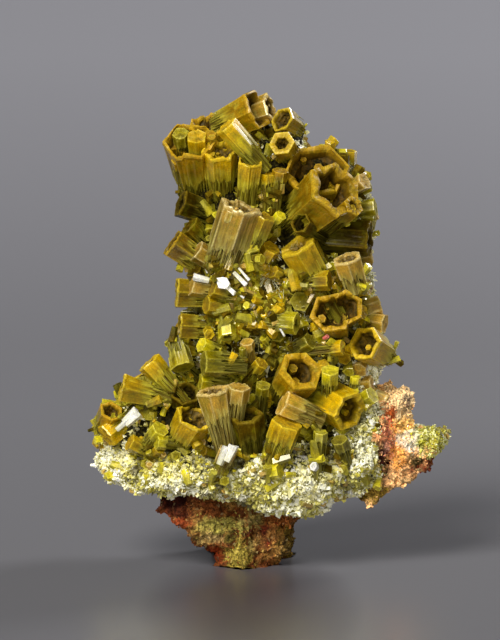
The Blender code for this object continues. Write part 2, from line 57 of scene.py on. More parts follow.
# Bedding and scatter of the crystals, in millimetres
BED_DEPTH = 1.0
ROOT_STEP = 0.25
LONGEST_ROOT = 6.0
SCATTER_SEED = 11
SCATTER_TRIES = 120
SCATTER_TILT = 0.65

Crystal = namedtuple("Crystal", "node across up back lean face roll radius length root tone bore depth",
                     defaults=(0.0, 0.0))
Crystal.__doc__ = """One hexagonal prism or hopper.

across, up, back: the centre of its free end. lean: its axis in the view, in degrees clockwise
from up. face: how far the axis turns towards the viewer, in degrees. roll: its turn about the
axis. radius: at the free end. length: from there to its root. root: the root's radius as a share
of radius. tone: its colour. bore: the hollow's radius as a share of radius, 0 for a solid end.
depth: of the hollow.
"""

Shape = namedtuple("Shape", "tip axis roll radius length root bore depth")
Shape.__doc__ = "A crystal in the specimen's own frame: tip is a point and axis a direction."


# The crystals' relief, as shares of their radius
RIM_LUMPS = 0.05
CORE = 0.70

# The share of its length that a crystal's walls reach down at most
LONGEST_HEM = 0.72

# How finely a crystal is drawn: points along each side, more for each millimetre of its radius, and
# the fibres below its walls for each millimetre of its radius
SIDE_POINTS = 4
SIDE_POINTS_PER_RADIUS = 3.2
COMB_PER_RADIUS = 95

Style = namedtuple("Style", "hem dip groove onset in_wall in_hollow")
Style.__doc__ = """How a crystal grew.

hem: how far down its walls reach. dip: how uneven its rim is. groove: how deep its walls'
grooves are, all as shares of its radius. onset: how soon they start below the rim, low for soon.
in_wall, in_hollow: how many small crystals grow there.
"""
PLAIN = Style(1.35, 0.08, 0.09, 1.2, 0, 0)
OFFSPRING = Style(1.60, 0.06, 0.08, 1.0, 0, 0)
STYLES = {
    "crown_cluster": Style(1.95, 0.30, 0.11, 0.6, 5, 12),
    "hopper_right_front": Style(2.30, 0.20, 0.06, 1.2, 0, 5),
    "hopper_right_back": Style(2.00, 0.16, 0.08, 0.8, 0, 7),
    "hopper_top": Style(2.30, 0.16, 0.07, 1.2, 0, 3),
    "hopper_round": Style(1.50, 0.12, 0.07, 1.2, 0, 3),
    "hopper_hexagon": Style(1.50, 0.07, 0.06, 1.2, 0, 2),
    "hopper_tilted": Style(1.70, 0.10, 0.06, 1.2, 0, 2),
    "hopper_hook": Style(1.60, 0.16, 0.08, 1.0, 1, 2),
    "hopper_wing": Style(1.40, 0.16, 0.08, 1.0, 0, 2),
    "fan_centre": Style(2.10, 0.20, 0.07, 0.6, 1, 1),
    "prism_tall": Style(1.60, 0.10, 0.09, 1.0, 0, 0),
    "prism_crown_bar": Style(3.00, 0.06, 0.06, 0.8, 0, 0),
    "trumpet_left": Style(1.90, 0.12, 0.08, 1.0, 0, 0),
    "hopper_low_right": Style(2.60, 0.10, 0.06, 1.0, 0, 0),
    "hopper_crown_cup": Style(2.20, 0.16, 0.12, 0.5, 0, 1),
}

# Clusters whose hollows run into one another
JOINED_HOLLOWS = ("hopper_round",)

# How bright a few crystals are: 1 bright, 0 dim, and less for those in the shade
SHADES = {
    "hopper_right_front": 0.15,
    "hopper_right_back": 0.25,
    "hopper_low_right": 0.30,
    "hopper_top": 0.35,
    "crown_cluster": 0.75,
    "hopper_round": 0.75,
    "hopper_hexagon": 0.75,
    "hopper_tilted": 0.75,
    "hopper_hook": 0.75,
    "prism_gold_front": 0.70,
    "fan_centre": 0.10,
    "prism_tall": 0.50,
    "wedge_centre": 0.30,
    "hopper_left": -0.34,
    "hopper_left_low": -0.32,
    "hopper_left_column": -0.38,
    "hopper_dark_left": -0.30,
    "prism_pale_left": -0.05,
    "prism_left_high": 0.30,
    "prism_left_inner": -0.15,
    "hopper_wing": 0.65,
    "prism_cream_front": 0.75,
    "prism_flat_right": 0.45,
}

# The crust's and the matrix's skins, in millimetres
CRUST_VOXEL = 0.36
MATRIX_VOXEL = 0.32

# The camera: focal length and sensor in millimetres, distance in metres, and the height in
# millimetres that it aims at
LENS = 337.5
SENSOR = 36.0
VIEW_DISTANCE = 0.6
VIEW_CENTRE = 25.0

# Crystals of the front, one by one, largest and nearest first
CRYSTALS = [Crystal(*row) for row in (
    ("hopper_right_front", 8.7, 38.0, -8.2, 50, 48, 10, 3.15, 8.6, 0.78, "brown", 0.66, 4.5),
    ("hopper_right_front", 10.3, 36.3, -8.6, 50, 50, 30, 1.15, 3.4, 0.90, "brown", 0.50, 1.0),
    ("crown_cluster", -6.0, 43.0, -4.5, -8, 45, 4, 2.85, 8.2, 0.66, "brown", 0.82, 3.0),
    ("crown_cluster", -3.0, 42.0, -5.4, -2, 38, 12, 1.90, 6.8, 0.78, "gold", 0.70, 1.8),
    ("crown_cluster", -4.1, 44.7, -2.0, 2, 28, 20, 2.30, 7.2, 0.70, "brown", 0.74, 1.8),
    ("crown_cluster", -5.3, 43.2, -4.9, -6, 43, 30, 1.05, 4.0, 0.90, "gold"),
    ("crown_cluster", -6.9, 43.6, -4.3, -8, 43, 10, 0.85, 4.0, 0.90, "olive"),
    ("hopper_right_back", 6.6, 40.0, -5.0, 0, 58, 8, 3.35, 7.0, 0.78, "brown", 0.78, 3.0),
    ("hopper_round", 8.0, 25.8, -8.0, -20, 70, 14, 2.25, 5.0, 0.78, "brown", 0.70, 3.0),
    ("hopper_round", 9.5, 26.3, -7.7, 30, 68, 25, 1.90, 5.0, 0.78, "brown", 0.72, 2.6),
    ("hopper_hexagon", 5.0, 20.1, -8.8, 35, 58, 2, 2.35, 5.5, 0.86, "brown", 0.60, 2.5),
    ("hopper_tilted", 10.0, 15.9, -8.0, 118, 42, 10, 2.15, 5.5, 0.95, "gold", 0.66, 2.5),
    ("fan_centre", -0.7, 36.4, -7.8, 18, 14, 28, 2.25, 7.4, 0.96, "cream", 0.66, 0.8),
    ("fan_centre", 1.5, 35.4, -8.0, 22, 16, 26, 1.20, 5.4, 0.90, "gold"),
    ("prism_tall", -3.7, 18.2, -8.8, -12, 14, 20, 1.80, 5.6, 0.55, "cream", 0.60, 0.8),
    ("prism_cream_front", 3.1, 16.8, -8.8, -66, 14, 10, 1.45, 4.6, 0.90, "cream"),
    ("prism_gold_front", 3.7, 15.0, -9.6, 20, 22, 20, 1.65, 3.8, 0.90, "gold"),
    ("trumpet_left", -12.9, 18.3, -6.6, -76, 4, 12, 1.65, 5.2, 0.62, "gold", 0.60, 0.8),
    ("hopper_top", 0.9, 46.0, -2.8, 66, 28, 6, 2.15, 5.4, 0.72, "brown", 0.78, 2.0),
    ("hopper_top", 2.2, 46.1, -1.0, 72, 20, 20, 1.60, 4.4, 0.80, "cream", 0.70, 1.2),
    ("prism_crown_bar", -2.4, 44.2, -6.4, -42, 14, 22, 1.20, 6.2, 0.85, "gold"),
    ("hopper_wing", -5.4, 15.6, -8.4, 30, 38, 12, 2.05, 4.5, 0.78, "gold", 0.75, 1.8),
    ("prism_flat_right", 9.5, 31.2, -7.0, -18, 20, 25, 1.65, 3.8, 0.85, "cream", 0.60, 0.6),
    ("wedge_centre", 4.6, 32.5, -6.8, -30, 22, 26, 2.10, 3.4, 0.80, "gold", 0.50, 0.6),
    ("hopper_hook", 11.2, 22.8, -6.8, -60, 50, 12, 1.95, 4.5, 0.82, "gold", 0.70, 1.8),
    ("hopper_low_right", 12.0, 33.0, -4.6, 94, 12, 24, 1.85, 7.0, 0.90, "dark", 0.60, 1.2),
    ("hopper_left", -7.8, 32.7, -4.8, -56, 8, 8, 1.65, 6.0, 0.78, "brown", 0.70, 1.5),
    ("prism_pale_left", -5.4, 31.9, -6.0, -58, 14, 28, 1.20, 5.0, 0.88, "cream"),
    ("hopper_left_low", -7.4, 27.7, -5.0, -88, 4, 10, 1.65, 5.4, 0.80, "gold", 0.62, 1.2),
    ("prism_left_high", -5.9, 28.5, -6.6, -80, 15, 22, 1.15, 5.0, 0.85, "cream"),
    ("prism_left_inner", -3.8, 28.3, -7.6, -74, 20, 28, 1.05, 4.0, 0.88, "gold"),
    ("hopper_left_column", -7.1, 24.4, -5.2, -86, 8, 10, 1.40, 4.0, 0.84, "gold", 0.70, 1.4),
    ("prism_across", 4.7, 24.7, -8.4, 96, 20, 24, 1.15, 4.8, 0.85, "lemon", 0.40, 0.6),
    ("slab_right", 7.9, 28.9, -7.6, 88, 18, 28, 1.05, 4.0, 0.88, "gold"),
    ("prism_comb", -4.7, 20.7, -8.2, -88, 14, 28, 1.40, 4.4, 0.98, "olive"),
    ("prism_comb_under", -5.0, 18.9, -7.2, -85, 12, 10, 0.95, 4.0, 0.92, "olive"),
    ("fan_wing_top", -10.1, 20.9, -5.8, -42, 8, 25, 1.30, 4.8, 0.78, "gold", 0.50, 0.6),
    ("prism_wing_down", -6.6, 20.2, -6.8, 165, 22, 20, 1.25, 3.4, 0.85, "olive"),
    ("hopper_dark_fringe", -0.4, 15.7, -8.6, -8, 32, 14, 1.75, 4.2, 0.92, "dark", 0.62, 1.2),
    ("prism_short", -1.1, 18.5, -8.6, 8, 22, 28, 1.20, 3.4, 0.95, "cream"),
    ("fan_down", -2.2, 23.2, -7.6, 174, 26, 15, 0.95, 3.2, 0.82, "lemon", 0.50, 0.6),
    ("prism_white_left", -14.4, 13.4, -5.4, -128, 18, 12, 1.35, 4.6, 0.90, "gold"),
    ("hopper_ring_left", -13.7, 16.0, -5.6, 30, 48, 14, 1.30, 3.4, 0.82, "brown", 0.68, 1.2),
    ("hopper_ring_back", -6.4, 17.9, -7.0, 0, 50, 20, 1.55, 4.0, 0.82, "dark", 0.72, 1.4),
    ("hopper_lip", 4.9, 34.6, -7.8, -60, 50, 10, 1.20, 3.4, 0.82, "dark", 0.74, 1.4),
    ("hopper_top_hexagon", 3.1, 42.5, -5.0, -30, 65, 8, 1.40, 3.6, 0.88, "gold", 0.48, 1.2),
    ("hopper_top_cup", 3.1, 44.9, -2.8, -60, 45, 12, 1.40, 3.0, 0.82, "gold", 0.72, 1.2),
    ("hopper_crown_cup", 0.1, 40.8, -6.4, 6, 28, 12, 1.35, 5.0, 0.72, "gold", 0.74, 1.4),
    ("hopper_dark_left", -7.0, 36.6, -2.8, -70, 16, 10, 1.50, 5.0, 0.82, "dark", 0.50, 0.8),
    ("prism_dark_left", -6.1, 34.4, -4.0, -45, 18, 25, 1.15, 5.0, 0.82, "dark"),
    ("prism_side", 3.0, 39.8, -6.0, 8, 22, 28, 0.85, 4.0, 0.82, "brown"),
)]

# Small crystals that are one with the crust that they grow from
SMALL_CRYSTALS = [Crystal("crust", *row) for row in (
    (1.8, 39.5, -5.8, 3, 20, 10, 0.75, 4.5, 0.75, "gold"),
    (11.4, 38.8, -3.4, 60, 35, 0, 0.95, 3.5, 0.85, "cream"),
    (12.5, 36.2, -3.4, 80, 12, 10, 0.90, 4.5, 0.85, "olive"),
    (12.4, 34.6, -2.0, 96, 14, 20, 0.95, 4.0, 0.85, "olive"),
    (11.9, 38.6, -1.6, 66, 10, 5, 0.90, 3.6, 0.85, "olive"),
    (3.1, 35.4, -5.8, 40, 32, 10, 0.65, 2.5, 0.90, "lemon"),
    (-4.4, 26.5, -7.0, -85, 25, 28, 0.95, 3.5, 0.88, "gold"),
    (-7.4, 23.9, -2.0, -88, 12, 28, 0.85, 3.6, 0.88, "brown"),
    (2.2, 32.2, -6.4, 32, 32, 10, 1.00, 3.0, 0.85, "gold"),
    (6.0, 23.0, -7.0, 60, 34, 26, 0.90, 2.4, 0.95, "olive"),
    (9.2, 22.3, -7.8, 84, 24, 28, 0.80, 2.2, 0.95, "gold"),
    (7.9, 20.1, -8.2, 2, 32, 28, 1.00, 3.2, 0.88, "lemon"),
    (-8.8, 14.3, -7.8, 40, 34, 20, 1.00, 2.4, 0.90, "lemon"),
    (-9.3, 12.9, -8.2, -86, 22, 28, 0.75, 2.4, 0.90, "lemon"),
    (-12.0, 12.9, -7.4, -64, 22, 24, 0.90, 2.4, 0.90, "gold"),
    (-2.1, 12.2, -9.4, 24, 22, 28, 1.05, 2.8, 0.88, "cream"),
    (7.0, 14.0, -9.0, 5, 22, 28, 0.75, 2.8, 0.90, "lemon"),
    (3.0, 10.1, -9.8, 80, 26, 24, 0.85, 2.0, 0.95, "lemon"),
    (8.8, 13.2, -8.0, -20, 32, 20, 0.90, 2.5, 0.88, "olive"),
    (10.5, 19.4, -6.4, 8, 20, 28, 0.55, 2.4, 0.95, "lemon"),
    (12.2, 17.6, -6.4, 60, 32, 10, 0.95, 2.4, 0.85, "lemon"),
    (-6.9, 22.3, -4.2, -76, 20, 28, 0.95, 3.6, 0.88, "gold"),
    (-7.5, 20.9, -5.0, -50, 24, 12, 0.95, 3.2, 0.88, "olive"),
    (-4.9, 22.6, -6.8, -66, 30, 20, 0.85, 3.0, 0.88, "lemon"),
    (-5.6, 29.9, -6.0, -30, 26, 8, 0.85, 3.0, 0.88, "dark"),
    (1.3, 23.3, -6.8, -42, 34, 28, 0.50, 3.4, 0.90, "lemon"),
    (-0.3, 22.9, -6.8, -10, 32, 24, 0.75, 2.6, 0.95, "cream"),
    (0.9, 27.6, -6.8, 35, 32, 22, 0.60, 2.4, 0.92, "lemon"),
    (2.2, 29.8, -6.6, -60, 36, 20, 0.75, 2.4, 0.95, "gold"),
    (1.2, 20.8, -7.0, 40, 35, 26, 0.80, 2.4, 0.95, "gold"),
    (1.3, 18.6, -7.4, 5, 38, 12, 0.80, 2.4, 0.95, "olive"),
)]

# The small crystals scattered over the crust: the swelling that they stand on, their number, their
# smallest and largest radius, and the way that they mostly face
SCATTER = [
    ("tower", 20, 0.75, 1.20, (0.0, -1.4, 0.0)),
    ("left lobe", 6, 0.75, 1.10, (-1.0, -0.6, -0.2)),
    ("upper right", 6, 0.70, 0.95, (0.9, 0.0, -0.6)),
    ("right shoulder", 12, 0.70, 1.10, (0.5, -1.4, 0.1)),
    ("wing", 10, 0.70, 1.10, (-0.3, -0.7, 1.0)),
    ("tower", 8, 0.80, 1.20, (0.0, 1.4, 0.3)),
]

# The crust's swellings: centre across, up and back, then half sizes along X, Y and Z
CRUST_SWELLINGS = {
    "tower": ((2.2, 26.0, 0.4), (6.2, 5.8, 18.0)),
    "peak": ((2.9, 41.6, 0.6), (2.7, 3.0, 4.2)),
    "left lobe": ((-1.4, 35.0, 0.4), (4.4, 4.4, 8.0)),
    "left waist": ((-3.2, 23.0, 0.0), (3.7, 4.8, 4.6)),
    "upper right": ((7.5, 35.0, 0.3), (4.4, 4.7, 7.2)),
    "right shoulder": ((7.5, 21.5, 0.6), (5.6, 6.0, 12.0)),
    "lower right": ((9.8, 13.2, -1.0), (4.8, 6.2, 6.2)),
    "wing": ((-7.5, 14.2, 0.0), (7.2, 7.2, 4.6)),
    "plate": ((-0.6, 10.5, 0.0), (14.7, 9.4, 3.4)),
    "front lip": ((3.5, 9.0, -3.0), (6.0, 6.2, 3.2)),
}

# The matrix's blocks: centre across, up and back, half sizes along X, Y and Z, turn about Y and Z
MATRIX_BLOCKS = {
    "foot": ((0.3, 3.4, 2.0), (2.9, 4.4, 4.6), 0, 0),
    "foot tip": ((-0.7, 3.0, -2.6), (2.05, 2.05, 4.4), 0, 45),
    "back foot": ((0.2, 4.5, 5.0), (3.8, 4.0, 5.0), 0, 8),
    "left block": ((-6.0, 6.6, -1.0), (2.8, 4.0, 1.9), 26, -6),
    "middle block": ((-3.0, 4.9, -2.0), (1.9, 2.8, 2.6), 16, 14),
    "right foot": ((3.2, 4.1, -0.6), (1.2, 3.3, 2.6), 8, -10),
    "back slab": ((3.0, 17.5, 6.6), (6.6, 3.2, 9.0), 3, 3),
    "wing back": ((-5.0, 13.5, 6.2), (6.0, 2.6, 4.0), -4, -8),
    "right bridge": ((11.0, 14.0, 4.5), (4.0, 3.0, 4.0), 0, 10),
    "right rock": ((13.7, 13.7, -0.4), (2.4, 3.8, 4.2), -16, 12),
    "right knob": ((17.0, 12.2, -0.6), (2.0, 2.6, 2.1), 18, -10),
    "right low": ((13.2, 9.8, -1.0), (2.6, 3.4, 1.7), -24, 6),
}


# Where things are

def seen(across, up, back):
    """The point at depth `back` that the front view shows at (across, up), in millimetres."""
    rise = (up - (back - FOOT_FRONT) * math.sin(VIEW_TILT)) / math.cos(VIEW_TILT)
    return Vector((across - FOOT_ACROSS, back, rise))


def heading(lean, face):
    """A unit vector from an angle in the view and an angle towards the viewer, in degrees."""
    right = Vector((1, 0, 0))
    up = Vector((0, math.sin(VIEW_TILT), math.cos(VIEW_TILT)))
    lean, face = math.radians(lean), math.radians(face)
    flat = right * math.sin(lean) + up * math.cos(lean)
    return flat * math.cos(face) + right.cross(up) * math.sin(face)


def in_crust(point):
    """Whether a point lies inside one of the crust's swellings."""
    for centre, half in CRUST_SWELLINGS.values():
        offset = point - seen(*centre)
        if sum((offset[i] / half[i]) ** 2 for i in range(3)) < 1.0:
            return True
    return False


def shape_of(crystal):
    """The crystal's shape, its root lengthened where that sets it in the crust."""
    tip, axis = seen(crystal.across, crystal.up, crystal.back), heading(crystal.lean, crystal.face)
    length = crystal.length
    while not in_crust(tip - axis * (length - BED_DEPTH)):
        length += ROOT_STEP
        if length > crystal.length + LONGEST_ROOT:
            length = crystal.length
            break
    return Shape(tip, axis, crystal.roll, crystal.radius, length, crystal.root,
                 crystal.bore, crystal.depth)


def distance_to_axis(point, tip, axis, length):
    """How far a point is from the line through a crystal's middle."""
    along = max(0.0, min(length, (tip - point).dot(axis)))
    return (tip - axis * along - point).length


def scattered_shapes(placed):
    """Small crystals over the crust, clear of those already placed and of each other."""
    chance = random.Random(SCATTER_SEED)
    taken = list(placed)
    for swelling, count, smallest, largest, facing in SCATTER:
        centre, half = CRUST_SWELLINGS[swelling]
        wanted = len(taken) + count
        for _ in range(count * SCATTER_TRIES):
            way = Vector([chance.gauss(0, 1) for _ in range(3)]).normalized() + Vector(facing)
            way = Vector([w * h for w, h in zip(way.normalized(), half)])
            outward = Vector([w / h ** 2 for w, h in zip(way, half)]).normalized()
            tilt = Vector([chance.gauss(0, SCATTER_TILT) for _ in range(3)])
            axis = (outward + tilt).normalized()
            radius, roll = chance.uniform(smallest, largest), chance.uniform(0, 60)
            stand = radius * chance.uniform(0.9, 1.9)
            tip = seen(*centre) + way + axis * stand
            clear = all(distance_to_axis(tip, other.tip, other.axis, other.length)
                        > radius + other.radius * 0.7 for other in taken)
            if clear and not in_crust(tip):
                taken.append(Shape(tip, axis, roll, radius, stand + radius, 0.85, 0, 0))
            if len(taken) == wanted:
                break
    return taken[len(placed):]


def frame_of(shape):
    """The matrix from a crystal's own frame, with +Z along its axis, to the specimen's."""
    turn = shape.axis.to_track_quat("Z", "Y").to_matrix().to_4x4()
    return Matrix.Translation(shape.tip) @ turn @ Matrix.Rotation(math.radians(shape.roll), 4, "Z")


# Meshes

# inside carries painted shade: the dark of a crystal's hollow and of the recess under its walls' hem
PAINT = ("down", "inside", "edge", "fibre", "stripe", "top", "tone")


class Heap:
    """Points, faces and painted values, gathered until they become one mesh."""

    def __init__(self):
        self.points, self.local, self.faces, self.count = [], [], [], 0
        self.paint = {name: [] for name in PAINT}

    def add(self, points, faces, place=None, **paint):
        """Adds points in millimetres, lists of faces over them, and a value of each paint.

        With a place, the points are in a crystal's own frame, and place takes them to the specimen's.
        """
        points = np.asarray(points, float).reshape(-1, 3)
        self.local.append(points)
        if place is not None:
            points = points @ place[:3, :3].T + place[:3, 3]
        for group in faces:
            self.faces += (np.asarray(group) + self.count).tolist()
        for name in PAINT:
            value = np.asarray(paint.get(name, 0.0), float).ravel()
            self.paint[name].append(np.broadcast_to(value, len(points)) if value.size == 1 else value)
        self.points.append(points)
        self.count += len(points)

    def mesh(self, name, material):
        """Everything gathered so far as one mesh in metres."""
        points = np.concatenate(self.points) * MM
        mesh = bpy.data.meshes.new(name)
        mesh.from_pydata(points.tolist(), [], self.faces)
        for paint in PAINT:
            values = mesh.attributes.new(paint, "FLOAT", "POINT")
            values.data.foreach_set("value", np.concatenate(self.paint[paint]).astype(np.float32))
        own = mesh.attributes.new("local", "FLOAT_VECTOR", "POINT")
        own.data.foreach_set("vector", np.concatenate(self.local).astype(np.float32).ravel())
        mesh.materials.append(material)
        mesh.update()
        return mesh


def linked(name, data):
    """A new object of the scene, made of the given data."""
    made = bpy.data.objects.new(name, data)
    bpy.context.scene.collection.objects.link(made)
    return made


def add_piece(name, mesh, nodes):
    """A visible piece that stands in for the given nodes."""
    piece = linked(name, mesh)
    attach(piece, "root")
    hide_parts(*nodes)


def add_druse(name, heap, look):
    """Makes a heap a piece of the druse."""
    add_piece(name, heap.mesh(name, look), ["druse_crust"])


def unit(vectors):
    """Each row of vectors, scaled to a length of one."""
    return vectors / np.linalg.norm(vectors, axis=1, keepdims=True)


def draws(chance, count, low, high):
    """An array of count random numbers, spread evenly between low and high."""
    return np.array([chance.uniform(low, high) for _ in range(count)])


def skewed(chance, count, limits, power):
    """An array of count random sizes between the two limits, most of them near the first."""
    return limits[0] + (limits[1] - limits[0]) * chance.random(count) ** power


def grid_faces(rows, columns):
    """Quads over rows of points that close on themselves, facing out as the rows rise."""
    row, column = np.meshgrid(np.arange(rows - 1), np.arange(columns), indexing="ij")
    after = (column + 1) % columns
    low, high = row * columns, (row + 1) * columns
    return np.stack([low + column, low + after, high + after, high + column], -1).reshape(-1, 4)


def cap_faces(start, columns, centre, top):
    """Triangles from a ring of points to its centre, facing along the axis or against it."""
    ring = np.arange(columns)
    here, after = start + ring, start + (ring + 1) % columns
    middle = np.full(columns, centre)
    return np.stack([here, after, middle] if top else [after, here, middle], -1)


def prism_faces(count, levels, sides):
    """Faces of many prisms, each of `levels` rings of points with its two ends closed."""
    top = (levels - 1) * sides
    fan = np.arange(1, sides - 1)
    ends = np.concatenate([np.stack([np.full(sides - 2, top), top + fan, top + fan + 1], -1),
                           np.stack([np.zeros(sides - 2, int), fan + 1, fan], -1)])
    shift = np.arange(count)[:, None, None] * levels * sides
    walls = grid_faces(levels, sides)
    return [(walls[None] + shift).reshape(-1, 4), (ends[None] + shift).reshape(-1, 3)]


def rings_round(axes, helper, angle):
    """Rings of radius 1 round the axes: angle holds their points' angles, by ring and point."""
    side = unit(np.cross(axes, helper))
    other = np.cross(axes, side)
    return np.cos(angle)[:, :, None] * side[:, None, :] + np.sin(angle)[:, :, None] * other[:, None, :]


def rods(base, axis, foot, tip, length, sides, roll):
    """Slender prisms as points, by rod and point, and lists of faces. Base and axis are by rod."""
    helper = np.where(np.abs(axis[:, 2:3]) < 0.9, [[0.0, 0.0, 1.0]], [[1.0, 0.0, 0.0]])
    ring = rings_round(axis, helper, roll[:, None] + np.arange(sides)[None, :] * math.tau / sides)
    low = base[:, None, :] + ring * foot[:, None, None]
    high = (base + axis * length[:, None])[:, None, :] + ring * tip[:, None, None]
    return np.concatenate([low, high], axis=1), prism_faces(len(base), 2, sides)


def wave(chance, turns, sharpness=1.0):
    """A smooth uneven function round a crystal, within about -1 to 1."""
    parts = [(k, chance.gauss(0, 1), chance.uniform(0, math.tau)) for k in turns]
    scale = 1.4 * math.sqrt(len(parts))

    def value(turn):
        total = sum(size * np.sin(turn * k + phase) for k, size, phase in parts) / scale
        return np.sign(total) * np.abs(total) ** sharpness
    return value


def spikes(chance, columns, share, widest):
    """Pointed peaks of 0 to 1 round a crystal, `share` of the columns long in all."""
    value = np.zeros(columns)
    for _ in range(int(columns * share / widest) + 1):
        middle, reach = chance.randrange(columns), chance.randint(1, widest)
        size = chance.uniform(0.4, 1)
        for step in range(-reach, reach + 1):
            at = (middle + step) % columns
            value[at] = max(value[at], size * (1 - abs(step) / (reach + 1)))
    return value


def hexagon(shape, per_side):
    """The points round a crystal of radius 1, and for each of them 1 at a corner, else 0."""
    sizes = corner_sizes(shape)
    columns = np.arange(per_side * 6)
    corner, share = columns // per_side, (columns % per_side) / per_side
    step = math.tau / 6
    first = np.stack([np.cos(corner * step), np.sin(corner * step)], -1) * sizes[corner][:, None]
    after = (corner + 1) % 6
    second = np.stack([np.cos(after * step), np.sin(after * step)], -1) * sizes[after][:, None]
    return first * (1 - share)[:, None] + second * share[:, None], np.where(share == 0, 1.0, 0.0)


def uneven_growth(chance, shape, style, per_side, turn, at_corner):
    """Round a crystal: its stripes, its grooves, how far its rim dips and how far its walls reach."""
    columns, radius, length = len(turn), shape.radius, shape.length
    stripe = np.array([chance.random() for _ in range(columns)])
    stripe = 0.6 * stripe + 0.4 * (0.5 + 0.5 * wave(chance, (3, 5, 8, 13))(turn))
    groove = np.array([chance.choice((0.0, 0.3, 0.6, 1.0)) * chance.random() for _ in range(columns)])
    groove = -groove * style.groove * (1 - 0.7 * at_corner)
    steps = np.repeat([chance.choice((0.0, 0.0, 0.25, 0.5, 1.0)) for _ in range(columns)],
                      max(2, per_side // 3))[:columns]
    dip = 0.55 * np.clip(0.5 + 0.5 * wave(chance, (1, 2, 3), 0.8)(turn), 0, 1) + 0.45 * steps
    dip = dip * style.dip * radius
    hem = min(length * LONGEST_HEM, radius * style.hem)
    hem = hem * (0.92 + 0.14 * wave(chance, (1, 2, 4))(turn))
    hem = hem + (0.40 * spikes(chance, columns, 1.2, 1)
                 - 0.30 * spikes(chance, columns, 0.4, 1)) * radius
    hem = np.clip(hem, min(radius * 0.5, length * 0.45), length * 0.92)
    return stripe, groove, dip, hem


class Rings:
    """Rings of points up a crystal in its own frame, with the values painted on them."""

    def __init__(self, outline, radius, stripe):
        self.outline, self.radius, self.stripe = outline, radius, stripe
        self.rows, self.paint = [], {name: [] for name in PAINT}

    def add(self, scale, depth, inside=0.0, edge=0.0, fibre=0.0, plain=0.0):
        """Adds a ring: its width as a share of the outline's, its depth below the end, its paint."""
        columns = len(self.outline)
        depth = np.broadcast_to(depth, columns).astype(float)
        scale = np.broadcast_to(scale, columns)
        self.rows.append(np.column_stack([self.outline * (scale * self.radius)[:, None], -depth]))
        values = {"down": depth / self.radius, "inside": inside, "edge": edge, "fibre": fibre,
                  "stripe": self.stripe * (1 - plain) + 0.6 * plain, "top": plain}
        for name, value in values.items():
            self.paint[name].append(np.broadcast_to(value, columns))

    def pour(self, heap, place, shade, length, bottom, dark):
        """Adds all rings to a heap, closed at the crystal's root and at the bottom of its end."""
        count, columns = len(self.rows), len(self.outline)
        points = np.concatenate(self.rows + [np.array([[0, 0, -length], [0, 0, -bottom]])])
        faces = [grid_faces(count, columns),
                 cap_faces(0, columns, count * columns, False),
                 cap_faces((count - 1) * columns, columns, count * columns + 1, True)]
        ends = {"down": (length / self.radius, bottom / self.radius), "inside": (0.0, dark),
                "edge": (0.0, 0.0), "fibre": (1.0, 0.0), "stripe": (0.5, 0.6),
                "top": (0.0, 1.0 - dark)}
        values = {name: np.concatenate(self.paint[name] + [np.array(ends[name])]) for name in ends}
        heap.add(points, faces, place, tone=shade, **values)


def add_hollow(rings, chance, shape, turn, dip, lumps, detail):
    """The rim and the stepped hollow of a hopper. Returns its depth and how dark it is."""
    radius = shape.radius
    bore = shape.bore * (1 + 0.08 * wave(chance, (2, 3, 5, 7), 0.6)(turn))
    rings.add(0.50 + 0.45 * bore, np.maximum(0, dip + (0.01 - lumps) * radius), edge=0.30, plain=0.7)
    rings.add(bore + 0.05, dip + (0.04 - lumps * 0.5) * radius, edge=0.15, inside=0.10, plain=0.7)
    rings.add(bore, dip + 0.12 * radius, inside=0.35, edge=0.12, plain=0.4)
    # gloom: how strong the hollow's painted shade is, more for a deeper hollow
    levels, gloom = 3 if detail > 0.9 else 2, min(1.0, 2.2 * shape.depth / radius)
    for i in range(levels):
        deep = dip + 0.12 * radius + (shape.depth - 0.12 * radius) * (i + 0.8) / levels
        deep = deep * (1 + 0.22 * wave(chance, (1, 2, 3), 0.6)(turn))
        jag = 0.10 * wave(chance, (1, 2, 5, 9), 0.8)(turn)
        wall = shape.bore * (1 - 0.60 * (i + 0.2) / levels) + jag
        ledge = shape.bore * (1 - 0.60 * (i + 1.0) / levels) + jag
        dark = min(1.0, 0.45 + (i + 1) / levels) * gloom
        rings.add(wall, deep, inside=dark)
        rings.add(ledge, deep + 0.10 * radius, inside=dark)
    return shape.depth * 1.05, gloom


def add_flat_end(rings, dip, lumps):
    """The slightly sunken end of a crystal that has no hollow. Returns its depth."""
    sunk, radius = dip.mean(), rings.radius
    rings.add(0.86, (dip + sunk) / 2 + (0.03 - lumps * 0.5) * radius, edge=0.15, plain=0.9)
    rings.add(0.55, sunk + (0.05 - lumps) * radius, plain=0.8)
    rings.add(0.30, sunk + (0.055 + lumps * 0.5) * radius, plain=0.9)
    return sunk + 0.055 * radius


